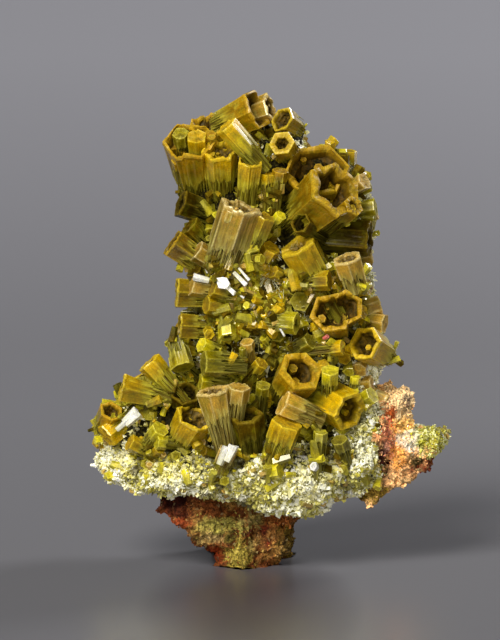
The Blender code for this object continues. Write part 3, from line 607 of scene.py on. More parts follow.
def add_crystal(heap, shape, seed, style, detail=1.0, shade=None):
    """A grooved hexagonal prism or hopper with a ragged hem, a fibrous core and a comb of fibres."""
    chance = random.Random(seed)
    place = np.array(frame_of(shape))
    radius, length = shape.radius, shape.length
    per_side = max(3, int(round((SIDE_POINTS + radius * SIDE_POINTS_PER_RADIUS) * detail)))
    outline, at_corner = hexagon(shape, per_side)
    turn = np.arange(len(outline)) / len(outline) * math.tau
    stripe, groove, dip, hem = uneven_growth(chance, shape, style, per_side, turn, at_corner)

    def wide(depth):
        """The crystal's width at a depth below its end, as a share of its radius."""
        return 1 + (shape.root - 1) * np.clip(depth / length, 0, 1) ** 0.8

    rings = Rings(outline, radius, stripe)
    core = CORE + groove * 2
    rings.add(core * shape.root, length, fibre=0.8)
    # The core under the walls carries painted shade, darkest just below the hem
    rings.add(core * wide((length + hem) / 2), (length + hem) / 2, fibre=0.7, inside=0.25)
    rings.add(core * wide(hem) * 0.98, hem - 0.10 * radius, inside=0.75)
    rings.add(wide(hem) * (0.94 + groove), hem, fibre=0.85)
    # The walls' corners take some of the rim colour: in part a painted highlight along them
    wall_rings = max(2, int(4 * detail) + 1)
    for i in range(wall_rings):
        part = 1 - (i + 0.35) / wall_rings
        depth = dip + (hem - dip) * part
        rings.add(wide(depth) * (1 + groove * part ** style.onset), depth,
                  fibre=max(0.0, part - 0.4), edge=0.50 * at_corner)
    lumps = RIM_LUMPS * np.clip(wave(chance, (3, 5, 8, 12), 0.6)(turn), -1, 1)
    # The rim's rings take the rim colour, brightest on the crest: in part the rim's own paler colour,
    # in part a painted highlight
    rings.add(wide(dip) * 0.998, dip + 0.15 * radius, edge=0.20)
    rings.add(wide(dip) * 0.985, dip + 0.06 * radius, edge=0.70)
    rings.add(0.950, np.maximum(0, dip + (0.015 - lumps * 0.5) * radius), edge=0.75, plain=0.4)
    if shape.bore:
        bottom, dark = add_hollow(rings, chance, shape, turn, dip, lumps, detail)
    else:
        bottom, dark = add_flat_end(rings, dip, lumps), 0.0
    shade = chance.random() if shade is None else shade
    rings.pour(heap, place, shade, length, bottom, dark)
    add_comb(heap, shape, place, outline, hem, wide, chance, shade, detail)
    add_offspring(heap, shape, seed, style, chance)


def add_comb(heap, shape, place, outline, hem, wide, chance, shade, detail):
    """The slender fibres that hang from a crystal's hem towards its root."""
    radius, length = shape.radius, shape.length
    columns = len(outline)
    count = int(COMB_PER_RADIUS * radius * detail ** 2)
    if count < 3:
        return
    pick = np.array([chance.randrange(columns) for _ in range(count)])
    off = draws(chance, count, CORE, 0.97)
    top = hem[pick] * draws(chance, count, 0.60, 0.95)
    reach = np.array([chance.uniform(0.10, 1.0) ** 1.6 for _ in range(count)])
    end = hem[pick] + (length - hem[pick]) * reach
    slim = draws(chance, count, 0.02, 0.08) * (0.6 + radius * 0.35)
    start = np.column_stack([outline[pick] * (off * wide(top) * radius)[:, None], -top])
    inward = draws(chance, count, 0.88, 1.03)
    finish = np.column_stack([outline[pick] * (off * inward * wide(end) * radius)[:, None], -end])
    along = finish - start
    size = np.linalg.norm(along, axis=1)
    points, faces = rods(start, along / size[:, None], slim, slim * 0.3, size, 4,
                         draws(chance, count, 0, math.tau))
    depth = np.repeat(np.stack([top, end], -1) / radius, 4, axis=1).ravel()
    stripe = np.repeat(np.array([chance.random() for _ in range(count)]), 8)
    heap.add(points, faces, place, down=depth, fibre=np.tile([0.6] * 4 + [1.0] * 4, count),
             stripe=stripe, tone=shade)


def add_offspring(heap, shape, seed, style, chance):
    """Parallel small crystals in a large crystal's rim, walls and hollow."""
    place = frame_of(shape)
    up = (place.to_3x3() @ Vector((0, 0, 1))).normalized()
    for i in range(style.in_wall + (style.in_hollow if shape.bore else 0)):
        angle = chance.uniform(0, math.tau)
        in_wall = i < style.in_wall
        if in_wall:
            radius = chance.uniform(0.14, 0.30) * shape.radius
            away = shape.radius * chance.uniform(0.86, 0.93) - radius * 0.75
            depth = chance.choice((0.0, 0.04, 0.3, 0.7)) * shape.radius
            length = chance.uniform(0.8, 1.5) * shape.radius
        else:
            radius = chance.uniform(0.07, 0.24) * shape.radius
            away = shape.radius * shape.bore * chance.uniform(0.35, 0.95)
            depth = shape.depth * chance.uniform(0.25, 0.8)
            length = shape.depth
        tip = place @ Vector((math.cos(angle) * away, math.sin(angle) * away, -depth))
        small = Shape(tip, up, shape.roll + chance.choice((0, 0, 8)), radius, length, 0.9, 0, 0)
        add_crystal(heap, small, f"{seed} offspring {i}", OFFSPRING, detail=0.4)


Ring = namedtuple("Ring", "wide deep edge down fibre")
Ring.__doc__ = """A ring of a small block.

wide: its width as a share of the radius. deep: how far it lies below the end, as a share of the
length where that is more than NEAR_END, else of the radius. edge, down, fibre: what is painted.
"""
NEAR_END = 0.3
# edge gives the blocks' end bevels the rim colour: in part a painted highlight
BLOCK_RINGS = (
    Ring(0.75, 1.00, 0.00, 1.50, 0.6),
    Ring(1.00, 0.12, 0.25, 0.15, 0.0),
    Ring(0.90, 0.00, 0.85, 0.00, 0.0),
    Ring(0.55, 0.04, 0.15, 0.00, 0.0),
)


def add_blocks(heap, points, axes, radius, length, seed):
    """Small uneven hexagonal prisms with bevelled ends: their ends, axes, radii and lengths."""
    chance = np.random.default_rng(seed)
    count, sides = len(points), 6
    ring = rings_round(axes, chance.normal(size=(count, 3)), np.arange(sides)[None] * math.tau / sides)
    ring = ring * chance.uniform(0.82, 1.1, (count, sides))[:, :, None] * radius[:, None, None]
    slant = chance.normal(0, 0.10, (count, sides))[:, :, None] * radius[:, None, None]
    rows = []
    for level in BLOCK_RINGS:
        at_end = level.deep < NEAR_END
        sink = ((radius if at_end else length) * level.deep)[:, None, None]
        rows.append(points[:, None, :] + ring * level.wide - axes[:, None, :] * (sink + slant * at_end))
    paint = {name: np.tile(np.repeat([getattr(level, name) for level in BLOCK_RINGS], sides), count)
             for name in ("edge", "down", "fibre")}
    stripe = np.tile(chance.random((count, sides)), (1, len(BLOCK_RINGS)))
    heap.add(np.concatenate(rows, axis=1), prism_faces(count, len(BLOCK_RINGS), sides), stripe=stripe,
             tone=np.repeat(chance.random(count), len(BLOCK_RINGS) * sides), **paint)


def add_sprays(heap, points, normals, seed, needles, radius, length):
    """Tufts of needles that fan out from points on a surface."""
    chance = np.random.default_rng(seed)
    base = np.repeat(points, needles, axis=0)
    lean = np.repeat(chance.normal(0, 0.5, (len(points), 3)), needles, axis=0)
    axis = unit(np.repeat(normals, needles, axis=0) + lean + chance.normal(0, 0.45, (len(base), 3)))
    slim = chance.uniform(*radius, len(base))
    tall = chance.uniform(*length, len(base))
    made, faces = rods(base - axis * 0.2, axis, slim, slim * chance.uniform(0.4, 1.0, len(base)),
                       tall, 4, chance.random(len(base)) * math.tau)
    shade = np.repeat(np.repeat(chance.random(len(points)), needles) * 0.6
                      + chance.random(len(base)) * 0.4, 8)
    heap.add(made.reshape(-1, 3), faces, tone=shade, edge=np.tile([0.0] * 4 + [1.0] * 4, len(base)),
             stripe=np.repeat(chance.random(len(base)), 8))


def to_axis(shape, points, least=-math.inf, most=math.inf):
    """How far points lie down a crystal's axis, within limits, and how far away from it there."""
    offset, axis = np.array(shape.tip)[None] - points, np.array(shape.axis)
    along = np.clip(offset @ axis, least, most)
    return along, np.linalg.norm(offset - along[:, None] * axis[None], axis=1)


def open_hollows(heap, sizes, shapes):
    """Sinks what a crystal of a cluster would leave standing in another's hollow.

    sizes: how many arrays of points each of the shapes gave the heap, in turn.
    """
    first = 0
    for size, own in zip(sizes, shapes):
        for index in range(first, first + size):
            points = heap.points[index]
            for other in shapes:
                if other is own or not other.bore:
                    continue
                along, away = to_axis(other, points)
                sunk = away < other.radius * other.bore * 0.92
                sunk &= (along > -1.5) & (along < other.depth)
                points = points - np.where(sunk, other.depth - along, 0)[:, None] * np.array(other.axis)
                # Points sunk into the hollow take its full painted shade
                dark = np.array(heap.paint["inside"][index], float)
                dark[sunk] = 1.0
                heap.paint["inside"][index] = dark
            heap.points[index] = points
        first += size


def head_of(shape, style):
    """The part of a crystal above its hem, as a shape of its own."""
    return shape._replace(length=min(shape.length * LONGEST_HEM, shape.radius * style.hem) * 0.9)


def stalk_samples(shapes, heads, density, seed):
    """Points on the crystals' stalks below their hems, with the directions away from their axes."""
    chance = np.random.default_rng(seed)
    points, normals = [], []
    for shape, head in zip(shapes, heads):
        place = np.array(frame_of(shape))
        reach = shape.length - head.length
        count = int(density * shape.radius * reach) + 1
        turn = chance.uniform(0, math.tau, count)
        away = shape.radius * CORE * 0.95
        depth = head.length + reach * chance.uniform(0.0, 1.0, count)
        around = np.column_stack([np.cos(turn), np.sin(turn), np.zeros(count)])
        own = around * away - np.array([0.0, 0.0, 1.0]) * depth[:, None]
        points.append(own @ place[:3, :3].T + place[:3, 3])
        normals.append((around + [0.0, 0.0, 0.25]) @ place[:3, :3].T)
    return np.concatenate(points), unit(np.concatenate(normals))


def clear_of(shapes, points, room):
    """Whether each point stands clear of the shapes by `room` of their radius."""
    clear = np.ones(len(points), bool)
    for shape in shapes:
        clear &= to_axis(shape, points, -0.6 * shape.radius, shape.length)[1] > shape.radius * room
    return clear


def corner_sizes(shape):
    """How uneven the six corners are, the same for a crystal in every script that draws it."""
    chance = random.Random(f"{shape.tip.x:.2f} {shape.tip.z:.2f}")
    return np.array([chance.uniform(0.93, 1.05) for _ in range(6)])


# Crust, matrix and their grains

def roughen(mesh, shift):
    """Moves each vertex along its normal by shift(point), in millimetres."""
    normals = [vertex.normal.copy() for vertex in mesh.vertices]
    for vertex, normal in zip(mesh.vertices, normals):
        vertex.co += normal * shift(vertex.co / MM) * MM


def remeshed(bm, voxel, name):
    """The closed skin of everything in bm, in even small faces."""
    mesh = bpy.data.meshes.new(name)
    bm.to_mesh(mesh)
    bm.free()
    holder = linked(name, mesh)
    step = holder.modifiers.new("remesh", "REMESH")
    step.mode = "VOXEL"
    step.voxel_size = voxel * MM
    graph = bpy.context.evaluated_depsgraph_get()
    result = bpy.data.meshes.new_from_object(holder.evaluated_get(graph))
    bpy.data.objects.remove(holder)
    bpy.data.meshes.remove(mesh)
    result.name = name
    return result


def crust_bump(point):
    """Rounded knobs over a slow swell, with crystalline grit."""
    swell = noise.noise(point / 5.0) * 0.7
    knobs = abs(noise.noise(point / 1.9 + Vector((7, 3, 1)))) * 1.1
    grit = (noise.cell(point / 0.45) - 0.5) * 0.16
    return swell + knobs - 0.30 + grit


def matrix_bump(point):
    """Steps, pits, upright ridges and grit of broken limonite."""
    swell = noise.noise(point / 3.5 + Vector((2, 9, 4))) * 0.8
    step = noise.cell(point / 1.6 + Vector((5, 5, 5))) * 0.30
    pit = min(0.0, noise.noise(point / 1.3) + 0.25) * 1.3
    upright = Vector((point.x / 0.9, point.y / 0.9, point.z / 4.0))
    ridge = -abs(noise.noise(upright + Vector((3, 1, 6)))) * 0.75
    crumb = (noise.noise(point / 0.55 + Vector((1, 4, 2))) + noise.cell(point / 0.4) - 0.5) * 0.22
    return swell + step + pit + ridge + crumb - 0.02


def crust_mesh(material, rock):
    """The crust's knobbly skin, with limonite showing through it on the right."""
    bm = bmesh.new()
    for centre, half in CRUST_SWELLINGS.values():
        place = Matrix.Translation(seen(*centre) * MM) @ Matrix.Diagonal(Vector(half) * MM).to_4x4()
        bmesh.ops.create_icosphere(bm, subdivisions=4, radius=1.0, matrix=place)
    mesh = remeshed(bm, CRUST_VOXEL, "druse_surface")
    roughen(mesh, crust_bump)
    mesh.materials.append(material)
    mesh.materials.append(rock)
    centres = np.array([face.center for face in mesh.polygons]) / MM
    mesh.polygons.foreach_set("material_index", is_rocky(centres).astype(np.int32))
    paint_zones(mesh)
    return mesh


def matrix_mesh(material):
    """The matrix's broken skin, cut level where it stands."""
    bm = bmesh.new()
    for centre, half, turn_y, turn_z in MATRIX_BLOCKS.values():
        turn = Euler((0, math.radians(turn_y), math.radians(turn_z))).to_matrix().to_4x4()
        size = Matrix.Diagonal(Vector(half) * MM * 2).to_4x4()
        place = Matrix.Translation(seen(*centre) * MM) @ turn @ size
        bmesh.ops.create_cube(bm, size=1.0, matrix=place)
    mesh = remeshed(bm, MATRIX_VOXEL, "limonite_rock")
    roughen(mesh, matrix_bump)
    for vertex in mesh.vertices:
        vertex.co.z = max(vertex.co.z, 0.0)
    mesh.materials.append(material)
    return mesh


def in_view(points):
    """How far across and up the front view shows each point, in millimetres."""
    across = points[:, 0] + FOOT_ACROSS
    up = points[:, 2] * math.cos(VIEW_TILT) + (points[:, 1] - FOOT_FRONT) * math.sin(VIEW_TILT)
    return across, up


def far_from(view, centre, height, half, tall):
    """How far points of the front view lie from the middle of an ellipse, 1 at its edge."""
    across, up = view
    return ((across - centre) / half) ** 2 + ((up - height) / tall) ** 2


def ragged_by(points, size, strength):
    """An uneven shift for each point, in knobs of about that size."""
    return np.array([noise.noise(Vector(point) / size) for point in points]) * strength


def points_of(mesh):
    """A mesh's points, in millimetres."""
    places = np.empty(len(mesh.vertices) * 3, np.float32)
    mesh.vertices.foreach_get("co", places)
    return places.reshape(-1, 3).astype(float) / MM


def paint_zones(mesh, per_grain=1):
    """Paints a mesh's points with the colours of the rock's zones that they lie in.

    With per_grain, that many points in a row are one grain, of the colour of a place near it.
    """
    points = points_of(mesh)[::per_grain]
    if per_grain > 1:
        points = points + np.random.default_rng(ZONE_SEED).normal(0, ZONE_BLUR, points.shape)
    view = in_view(points)
    ragged = ragged_by(points, 0.7, 1.2)
    colour = np.where((view[0] > ORANGE_ROCK)[:, None], tint(ORANGE), tint(RUST))
    for *zone, code in ROCK_ZONES:
        far = far_from(view, *zone) + ragged
        share = np.clip((1.15 - far) * 2.0, 0, 1)[:, None]
        colour = colour * (1 - share) + np.array(tint(code)) * share
    colour = np.repeat(colour, per_grain, axis=0)
    layer = mesh.attributes.new("zone", "FLOAT_COLOR", "POINT")
    layer.data.foreach_set("color", colour.astype(np.float32).ravel())


def is_rocky(points):
    """Whether each point of the crust lies where limonite shows through it, on the right."""
    across, up = in_view(points)
    edge = ROCKY_FROM + 0.25 * np.abs(up - ROCKY_MIDDLE)
    level = (up > ROCKY_MIDDLE - ROCKY_BELOW) & (up < ROCKY_MIDDLE + ROCKY_ABOVE)
    return (across + ragged_by(points, 1.1, 0.9) > edge) & level & (points[:, 1] < ROCKY_BACK)


def surface_samples(mesh, count, seed, keep):
    """Points spread evenly over a mesh's faces, with their normals, where keep allows."""
    chance = np.random.default_rng(seed)
    mesh.calc_loop_triangles()
    corners = np.empty(len(mesh.loop_triangles) * 3, np.int32)
    mesh.loop_triangles.foreach_get("vertices", corners)
    triangles = points_of(mesh)[corners.reshape(-1, 3)]
    across = np.cross(triangles[:, 1] - triangles[:, 0], triangles[:, 2] - triangles[:, 0])
    area = np.linalg.norm(across, axis=1) / 2
    pick = chance.choice(len(triangles), count, p=area / area.sum())
    a, b = chance.random((2, count))
    over = a + b > 1
    a[over], b[over] = 1 - a[over], 1 - b[over]
    chosen = triangles[pick]
    points = (chosen[:, 0] + (chosen[:, 1] - chosen[:, 0]) * a[:, None]
              + (chosen[:, 2] - chosen[:, 0]) * b[:, None])
    normals = across[pick] / (2 * area[pick][:, None])
    kept = keep(points)
    return points[kept], normals[kept]


# The druse's and the rock's grains: sides, how far they lean, and how deep they are rooted
GRAIN_SIDES = 3
GRAIN_LEAN = 0.9
GRAIN_ROOT = 0.12


def add_grains(heap, points, normals, seed, radius, length, tone):
    """Uneven shards that stand on a surface, of a tone each. radius and length are (least, most)."""
    chance = np.random.default_rng(seed)
    count = len(points)
    axis = unit(normals + chance.normal(0, GRAIN_LEAN, (count, 3)))
    wide = skewed(chance, count, radius, 2)
    tall = skewed(chance, count, length, 1.5)
    made, faces = rods(points - axis * GRAIN_ROOT, axis, wide, wide * chance.uniform(0.25, 1.0, count),
                       tall + GRAIN_ROOT, GRAIN_SIDES, chance.random(count) * math.tau)
    made += chance.normal(0, 0.20, made.shape) * wide[:, None, None]
    edge = np.tile([0.0] * GRAIN_SIDES + [1.0] * GRAIN_SIDES, count)
    heap.add(made.reshape(-1, 3), faces, tone=np.repeat(tone, GRAIN_SIDES * 2), edge=edge,
             stripe=np.repeat(chance.random(count), GRAIN_SIDES * 2))


def druse_tone(points, seed):
    """From 0, pale, to 1, dark: pale on the crust's knobs and dark between them, in patches."""
    chance = np.random.default_rng(seed)
    tone = []
    for point in points:
        place = Vector(point)
        knob = abs(noise.noise(place / 1.9 + Vector((7, 3, 1)))) * 3.0
        patch = noise.noise(place / 2.6 + Vector((4, 8, 2))) + noise.noise(place / 0.9) * 0.6
        tone.append(0.62 - 0.50 * min(1.0, knob) + 0.50 * patch)
    return np.clip(np.array(tone) + chance.normal(0, 0.20, len(points)), 0, 1)


# Materials

def tint(code):
    """A colour as the shader takes it, from its code in hexadecimal."""
    shares = [int(code[i:i + 2], 16) / 255 for i in (0, 2, 4)]
    return [s / 12.92 if s <= 0.04045 else ((s + 0.055) / 1.055) ** 2.4 for s in shares] + [1.0]


# What a mix node calls its inputs for the share and the two colours, and its output
MIX_INPUTS = (0, 6, 7)
MIX_OUTPUT = 2


class Shading:
    """A material with a Principled shader, and short ways to add the nodes that feed it."""

    def __init__(self, name, **settings):
        self.material = bpy.data.materials.new(name)
        self.material.use_nodes = True
        self.tree = self.material.node_tree
        self.shader = self.tree.nodes["Principled BSDF"]
        for socket, value in settings.items():
            self.shader.inputs[socket.replace("_", " ")].default_value = value

    def node(self, kind, inputs=None, **settings):
        """A new node, with its inputs fed and its own settings set."""
        made = self.tree.nodes.new(kind)
        for name, value in settings.items():
            setattr(made, name, value)
        for socket, value in (inputs or {}).items():
            self.feed(made.inputs[socket], value)
        return made

    def feed(self, socket, value):
        """Links a socket to another, or sets it to a plain value."""
        if isinstance(value, bpy.types.NodeSocket):
            self.tree.links.new(value, socket)
        else:
            socket.default_value = value

    def sets(self, name, value):
        """Feeds one of the shader's own sockets."""
        self.feed(self.shader.inputs[name], value)

    def paint(self, name):
        """What the mesh has painted on it under that name."""
        return self.node("ShaderNodeAttribute", attribute_name=name).outputs["Fac"]

    def place(self, name=None):
        """The point on the object, or in its crystal's own frame, in millimetres."""
        if name:
            return self.node("ShaderNodeAttribute", attribute_name=name).outputs["Vector"]
        source = self.node("ShaderNodeTexCoord").outputs["Object"]
        return self.stretched(source, (1 / MM, 1 / MM, 1 / MM))

    def stretched(self, place, scale):
        """A place with a scale of its own along each axis."""
        return self.node("ShaderNodeVectorMath", {0: place, 1: scale}, operation="MULTIPLY").outputs[0]

    def noise(self, place, scale, detail=3.0, rough=0.55):
        """Smooth noise of about 0.3 to 0.7."""
        return self.node("ShaderNodeTexNoise", {"Vector": place, "Scale": scale, "Detail": detail,
                                                "Roughness": rough}).outputs["Fac"]

    def cells(self, place, scale):
        """A shade of its own for each small cell, 0 to 1."""
        made = self.node("ShaderNodeTexVoronoi", {"Vector": place, "Scale": scale}).outputs["Color"]
        return self.node("ShaderNodeSeparateColor", {"Color": made}).outputs[0]

    def level(self, value, low, high, to_low=0.0, to_high=1.0):
        """A value's range from low to high, stretched to another and cut off at its ends."""
        return self.node("ShaderNodeMapRange", {"Value": value, "From Min": low, "From Max": high,
                                                "To Min": to_low, "To Max": to_high}).outputs[0]

    def combined(self, operation, first, second):
        """Two values, combined by one of the math node's operations."""
        return self.node("ShaderNodeMath", {0: first, 1: second}, operation=operation).outputs[0]

    def plus(self, first, second):
        return self.combined("ADD", first, second)

    def times(self, first, second):
        return self.combined("MULTIPLY", first, second)

    def most(self, first, second):
        return self.combined("MAXIMUM", first, second)

    def squared(self, value):
        return self.combined("POWER", value, 2.0)

    def ramp(self, value, stops):
        """Colours along a value, given by their places in rising order."""
        made = self.node("ShaderNodeValToRGB", {"Fac": value})
        elements = made.color_ramp.elements
        for element, (place, code) in zip(elements, (stops[0], stops[-1])):
            element.position, element.color = place, tint(code)
        for place, code in stops[1:-1]:
            elements.new(place).color = tint(code)
        return made.outputs["Color"]

    def mix(self, share, first, second, blend="MIX"):
        """The first colour, with that share of the second."""
        made = self.node("ShaderNodeMix", data_type="RGBA", blend_type=blend)
        for index, value in zip(MIX_INPUTS, (share, first, second)):
            self.feed(made.inputs[index], tint(value) if isinstance(value, str) else value)
        return made.outputs[MIX_OUTPUT]

    def shaded(self, colour, shade):
        """A colour made darker or brighter by a factor."""
        grey = self.node("ShaderNodeCombineColor", {0: shade, 1: shade, 2: shade}).outputs[0]
        return self.mix(1.0, colour, grey, "MULTIPLY")

    def bump(self, height, strength, distance):
        """Fine relief: its height, its share and its depth in millimetres."""
        normal = self.node("ShaderNodeBump", {"Height": height, "Strength": strength,
                                              "Distance": distance * MM}).outputs[0]
        self.sets("Normal", normal)


# The crystals' colours: rim, band below it, body, lower end, fibres, hollow and depths, and how
# much they shine
CRYSTAL_COLOURS = {
    "brown": ("D4AE28", "9C7606", "7C5E04", "8E7E0E", "C6BC3C", "4E3604", "463202", 0.32),
    "gold": ("E6CC30", "B89202", "967802", "9C9210", "CCC43C", "5E4604", "5C4602", 0.45),
    "olive": ("D4CA50", "8C7E02", "685E04", "827A0E", "B8B044", "4A4006", "3C3604", 0.42),
    "lemon": ("F0E65A", "C8B80E", "A49806", "A49A14", "C8C250", "6A5E06", "6E6406", 0.50),
    "cream": ("F0E2A0", "B48C2A", "9C7E26", "9A8A30", "C8BE60", "5E460C", "6E5214", 0.50),
    "dark": ("8C761C", "4A3802", "342A02", "463E04", "8A8228", "241C02", "1A1402", 0.05),
    "white": ("FFFFF8", "F8F6EA", "F4F2E4", "ECEAD2", "E2E0B8", "8A8450", "D8D4B4", 0.60),
}


def crystal_material(tone):
    """A crystal in bands down its length, striped, clouded and fibrous, with a dark hollow."""
    rim, band, body, lower, fibres, hollow, deep, shine = CRYSTAL_COLOURS[tone]
    look = Shading(f"crystal_{tone}", IOR=1.6, Specular_IOR_Level=shine, Coat_Roughness=0.24,
                   Coat_IOR=1.7, Specular_Tint=(1.0, 0.88, 0.55, 1.0), Subsurface_Weight=0.15,
                   Subsurface_Radius=(1.0, 0.85, 0.2), Subsurface_Scale=0.0004)
    local = look.place("local")
    streak = look.noise(look.stretched(local, (1.0, 1.0, 0.12)), 3.0, 4.0)
    patch = look.noise(look.stretched(local, (1.0, 1.0, 0.40)), 0.9, 3.0)
    cloud = look.noise(look.place(), 0.55, 3.0)
    down = look.paint("down")

    depth = look.plus(down, look.level(patch, 0.3, 0.7, -0.30, 0.30))
    colour = look.ramp(look.level(depth, 0.0, 2.4), [(0.0, band), (0.16, band), (0.40, body),
                                                     (0.70, lower), (1.0, lower)])
    colour = look.mix(look.level(cloud, 0.35, 0.68, 0.0, 0.7), colour, look.mix(0.6, colour, band))
    colour = look.mix(look.level(patch, 0.50, 0.68, 0.0, 0.65), colour, deep)
    moss = look.noise(look.place(), 0.8, 4.0)
    colour = look.mix(look.level(moss, 0.52, 0.64, 0.0, 0.45), colour, "6E6C0C")
    colour = look.mix(look.level(moss, 0.44, 0.34, 0.0, 0.30), colour, fibres)
    stripe = look.plus(look.times(look.paint("stripe"), 0.6), look.times(streak, 0.5))
    striped = look.level(stripe, 0.25, 0.85, -0.50, 0.35)
    striped = look.times(striped, look.level(down, 0.2, 1.8, 0.22, 0.80))
    shade = look.times(look.plus(striped, 1.0), look.level(look.paint("tone"), -0.5, 1.0, 0.27, 1.40))
    fine = look.noise(look.stretched(local, (1.0, 1.0, 0.10)), 9.0, 3.0, 0.65)
    speck = look.noise(look.place(), 6.0, 4.0, 0.75)
    shade = look.times(shade, look.level(fine, 0.36, 0.64, 0.84, 1.18))
    shade = look.times(shade, look.level(speck, 0.38, 0.62, 0.80, 1.22))
    colour = look.shaded(colour, shade)
    colour = look.mix(look.level(look.paint("fibre"), 0.15, 0.8, 0.0, 0.75), colour,
                      look.mix(look.level(streak, 0.38, 0.62), deep, fibres))
    # Painted shade: darker towards the root, for the shade in the gaps between the crystals
    colour = look.shaded(colour, look.level(down, 1.4, 3.2, 1.0, 0.50))
    rough_top = look.noise(local, 2.6, 5.0, 0.7)
    top = look.times(look.paint("top"), look.level(rough_top, 0.60, 0.42, 0.0, 0.5))
    colour = look.mix(top, colour, deep)
    # Painted shade: hollows and the recess under the hem go towards near black where inside is high
    pit = look.mix(look.level(rough_top, 0.40, 0.60), "0E0901", hollow)
    colour = look.mix(look.level(look.paint("inside"), 0.05, 0.7, 0.0, 0.94), colour, pit)
    # Rims and corners take the rim colour: in part their own paler colour, in part a painted highlight
    edge = look.times(look.paint("edge"), look.level(speck, 0.36, 0.60, 0.25, 1.0))
    colour = look.mix(look.times(edge, 0.80), colour, rim)
    look.sets("Base Color", colour)
    flat = look.times(look.most(look.paint("inside"), look.paint("top")), 0.50)
    look.sets("Coat Weight", look.level(flat, 0.0, 0.15, shine, 0.0))
    smooth = look.level(look.plus(down, streak), 0.5, 2.2, 0.20, 0.45)
    look.sets("Roughness", look.plus(smooth, flat))
    look.bump(fine, 0.22, 0.08)
    return look.material


def grain_material(name, stops, rough=0.45):
    """Grains whose colour follows their own shade, paler at their tops."""
    look = Shading(name, IOR=1.5, Roughness=rough, Specular_IOR_Level=0.4, Subsurface_Weight=0.2,
                   Subsurface_Radius=(1.0, 0.9, 0.5), Subsurface_Scale=0.0003)
    cloud = look.noise(look.place(), 0.7, 3.0)
    shade = look.plus(look.paint("tone"), look.level(cloud, 0.3, 0.7, -0.12, 0.12))
    colour = look.ramp(shade, stops)
    colour = look.mix(look.times(look.paint("edge"), 0.35), colour, look.mix(0.5, colour, "F4F2D2"))
    colour = look.shaded(colour, look.level(look.paint("stripe"), 0.0, 1.0, 0.80, 1.12))
    look.sets("Base Color", colour)
    look.bump(look.noise(look.place(), 6.0, 3.0), 0.4, 0.08)
    return look.material


def crust_material():
    """The ground between the grains: dark in the tower, pale low down and on the right."""
    look = Shading("druse_ground", Roughness=0.75, Specular_IOR_Level=0.15)
    place = look.place()
    fine, coarse = look.noise(place, 4.0, 5.0, 0.65), look.noise(place, 0.8, 3.0)
    across, _, height = look.node("ShaderNodeSeparateXYZ", {0: place}).outputs
    ragged = look.level(coarse, 0.3, 0.7, -2.0, 2.0)
    low = look.level(look.plus(height, ragged), 12.5, 9.5)
    low = look.most(low, look.level(look.plus(across, ragged), 9.0, 11.5, 0.0, 0.85))
    # The tower's ground is painted near black: painted shade between the crystals
    upper = look.ramp(fine, [(0.34, "080702"), (0.50, "1E1A05"), (0.62, "3E370E"), (0.74, "6E6624")])
    lower = look.ramp(fine, [(0.28, "3A3410"), (0.42, "6E6624"), (0.55, "9C9644"), (0.70, "CCC878")])
    lower = look.mix(look.level(look.cells(place, 4.5), 0.45, 1.0, 0.0, 0.9), lower, "E8E6C0")
    look.sets("Base Color", look.mix(low, upper, lower))
    look.bump(fine, 0.8, 0.25)
    return look.material


def rock_material(name, crumbs=False):
    """Limonite in the colours of its zones, speckled; its crumbs vary in shade of their own."""
    look = Shading(name, Roughness=0.8, Specular_IOR_Level=0.2)
    zone = look.node("ShaderNodeAttribute", attribute_name="zone").outputs["Color"]
    place = look.place()
    fine = look.noise(place, 5.0, 6.0, 0.75)
    coarse = look.noise(place, 1.2, 4.0, 0.6)
    colour = look.mix(look.level(coarse, 0.46, 0.70, 0.0, 0.5), zone, look.mix(0.75, zone, "1E0A04"))
    wide = look.noise(place, 0.28, 4.0, 0.6)
    colour = look.mix(look.level(wide, 0.52, 0.62, 0.0, 0.7), colour, look.mix(0.45, zone, "C8A050"))
    colour = look.mix(look.level(wide, 0.44, 0.36, 0.0, 0.5), colour, look.mix(0.5, zone, "4A1C0A"))
    grain = look.level(look.cells(place, 6.0), 0.0, 1.0, 0.35, 1.55)
    shade = look.times(look.level(fine, 0.36, 0.66, 0.60, 1.70), grain)
    if crumbs:
        shade = look.level(look.paint("tone"), 0.0, 1.0, 2.2, 0.35)
    colour = look.shaded(colour, shade)
    if crumbs:
        pale = look.level(look.paint("stripe"), 0.80, 0.95, 0.0, 0.7)
        colour = look.mix(pale, colour, look.mix(0.5, zone, "F4DC9C"))
    look.sets("Base Color", colour)
    look.bump(fine, 0.9, 0.3)
    return look.material


# The pieces

# A height above everything
SKY = 60

# The first of each kind's seeds: of their places, their leans and their forms for blocks, and of
# their places, their forms and their shades for grains and crumbs
BLOCK_SEEDS = (20, 40, 60)
STALK_SEEDS = (120, 140, 160)
GRAIN_SEEDS = (3, 13, 17)
CRUMB_SEEDS = (9, 10, 90)
CRUST_CRUMB_SEED = 8

# The share of a pale patch from which the druse is pale
PALE_FROM = 0.3

# The tufts of needles: how many are tried, the needles in each, the heights and the places across
# that they lie between, and the seeds of their places and forms
TUFTS = 600
NEEDLES = 16
TUFT_HEIGHTS = (19, 32)
TUFT_LEFT = -5.5
TUFT_RIGHT = 8.0
TUFT_SEEDS = (70, 71)

# The small blocks between the crystals: tone, number, the heights they lie between, and their
# smallest and largest radius
DRUSE_BLOCKS = [
    ("gold", 560, 12, SKY, (0.20, 0.85)),
    ("olive", 850, 10.5, SKY, (0.18, 0.75)),
    ("lemon", 650, 9, SKY, (0.12, 0.60)),
    ("dark", 700, 12, SKY, (0.20, 0.80)),
    ("cream", 420, 6, SKY, (0.10, 0.40)),
    ("white", 420, 3, SKY, (0.08, 0.34)),
]

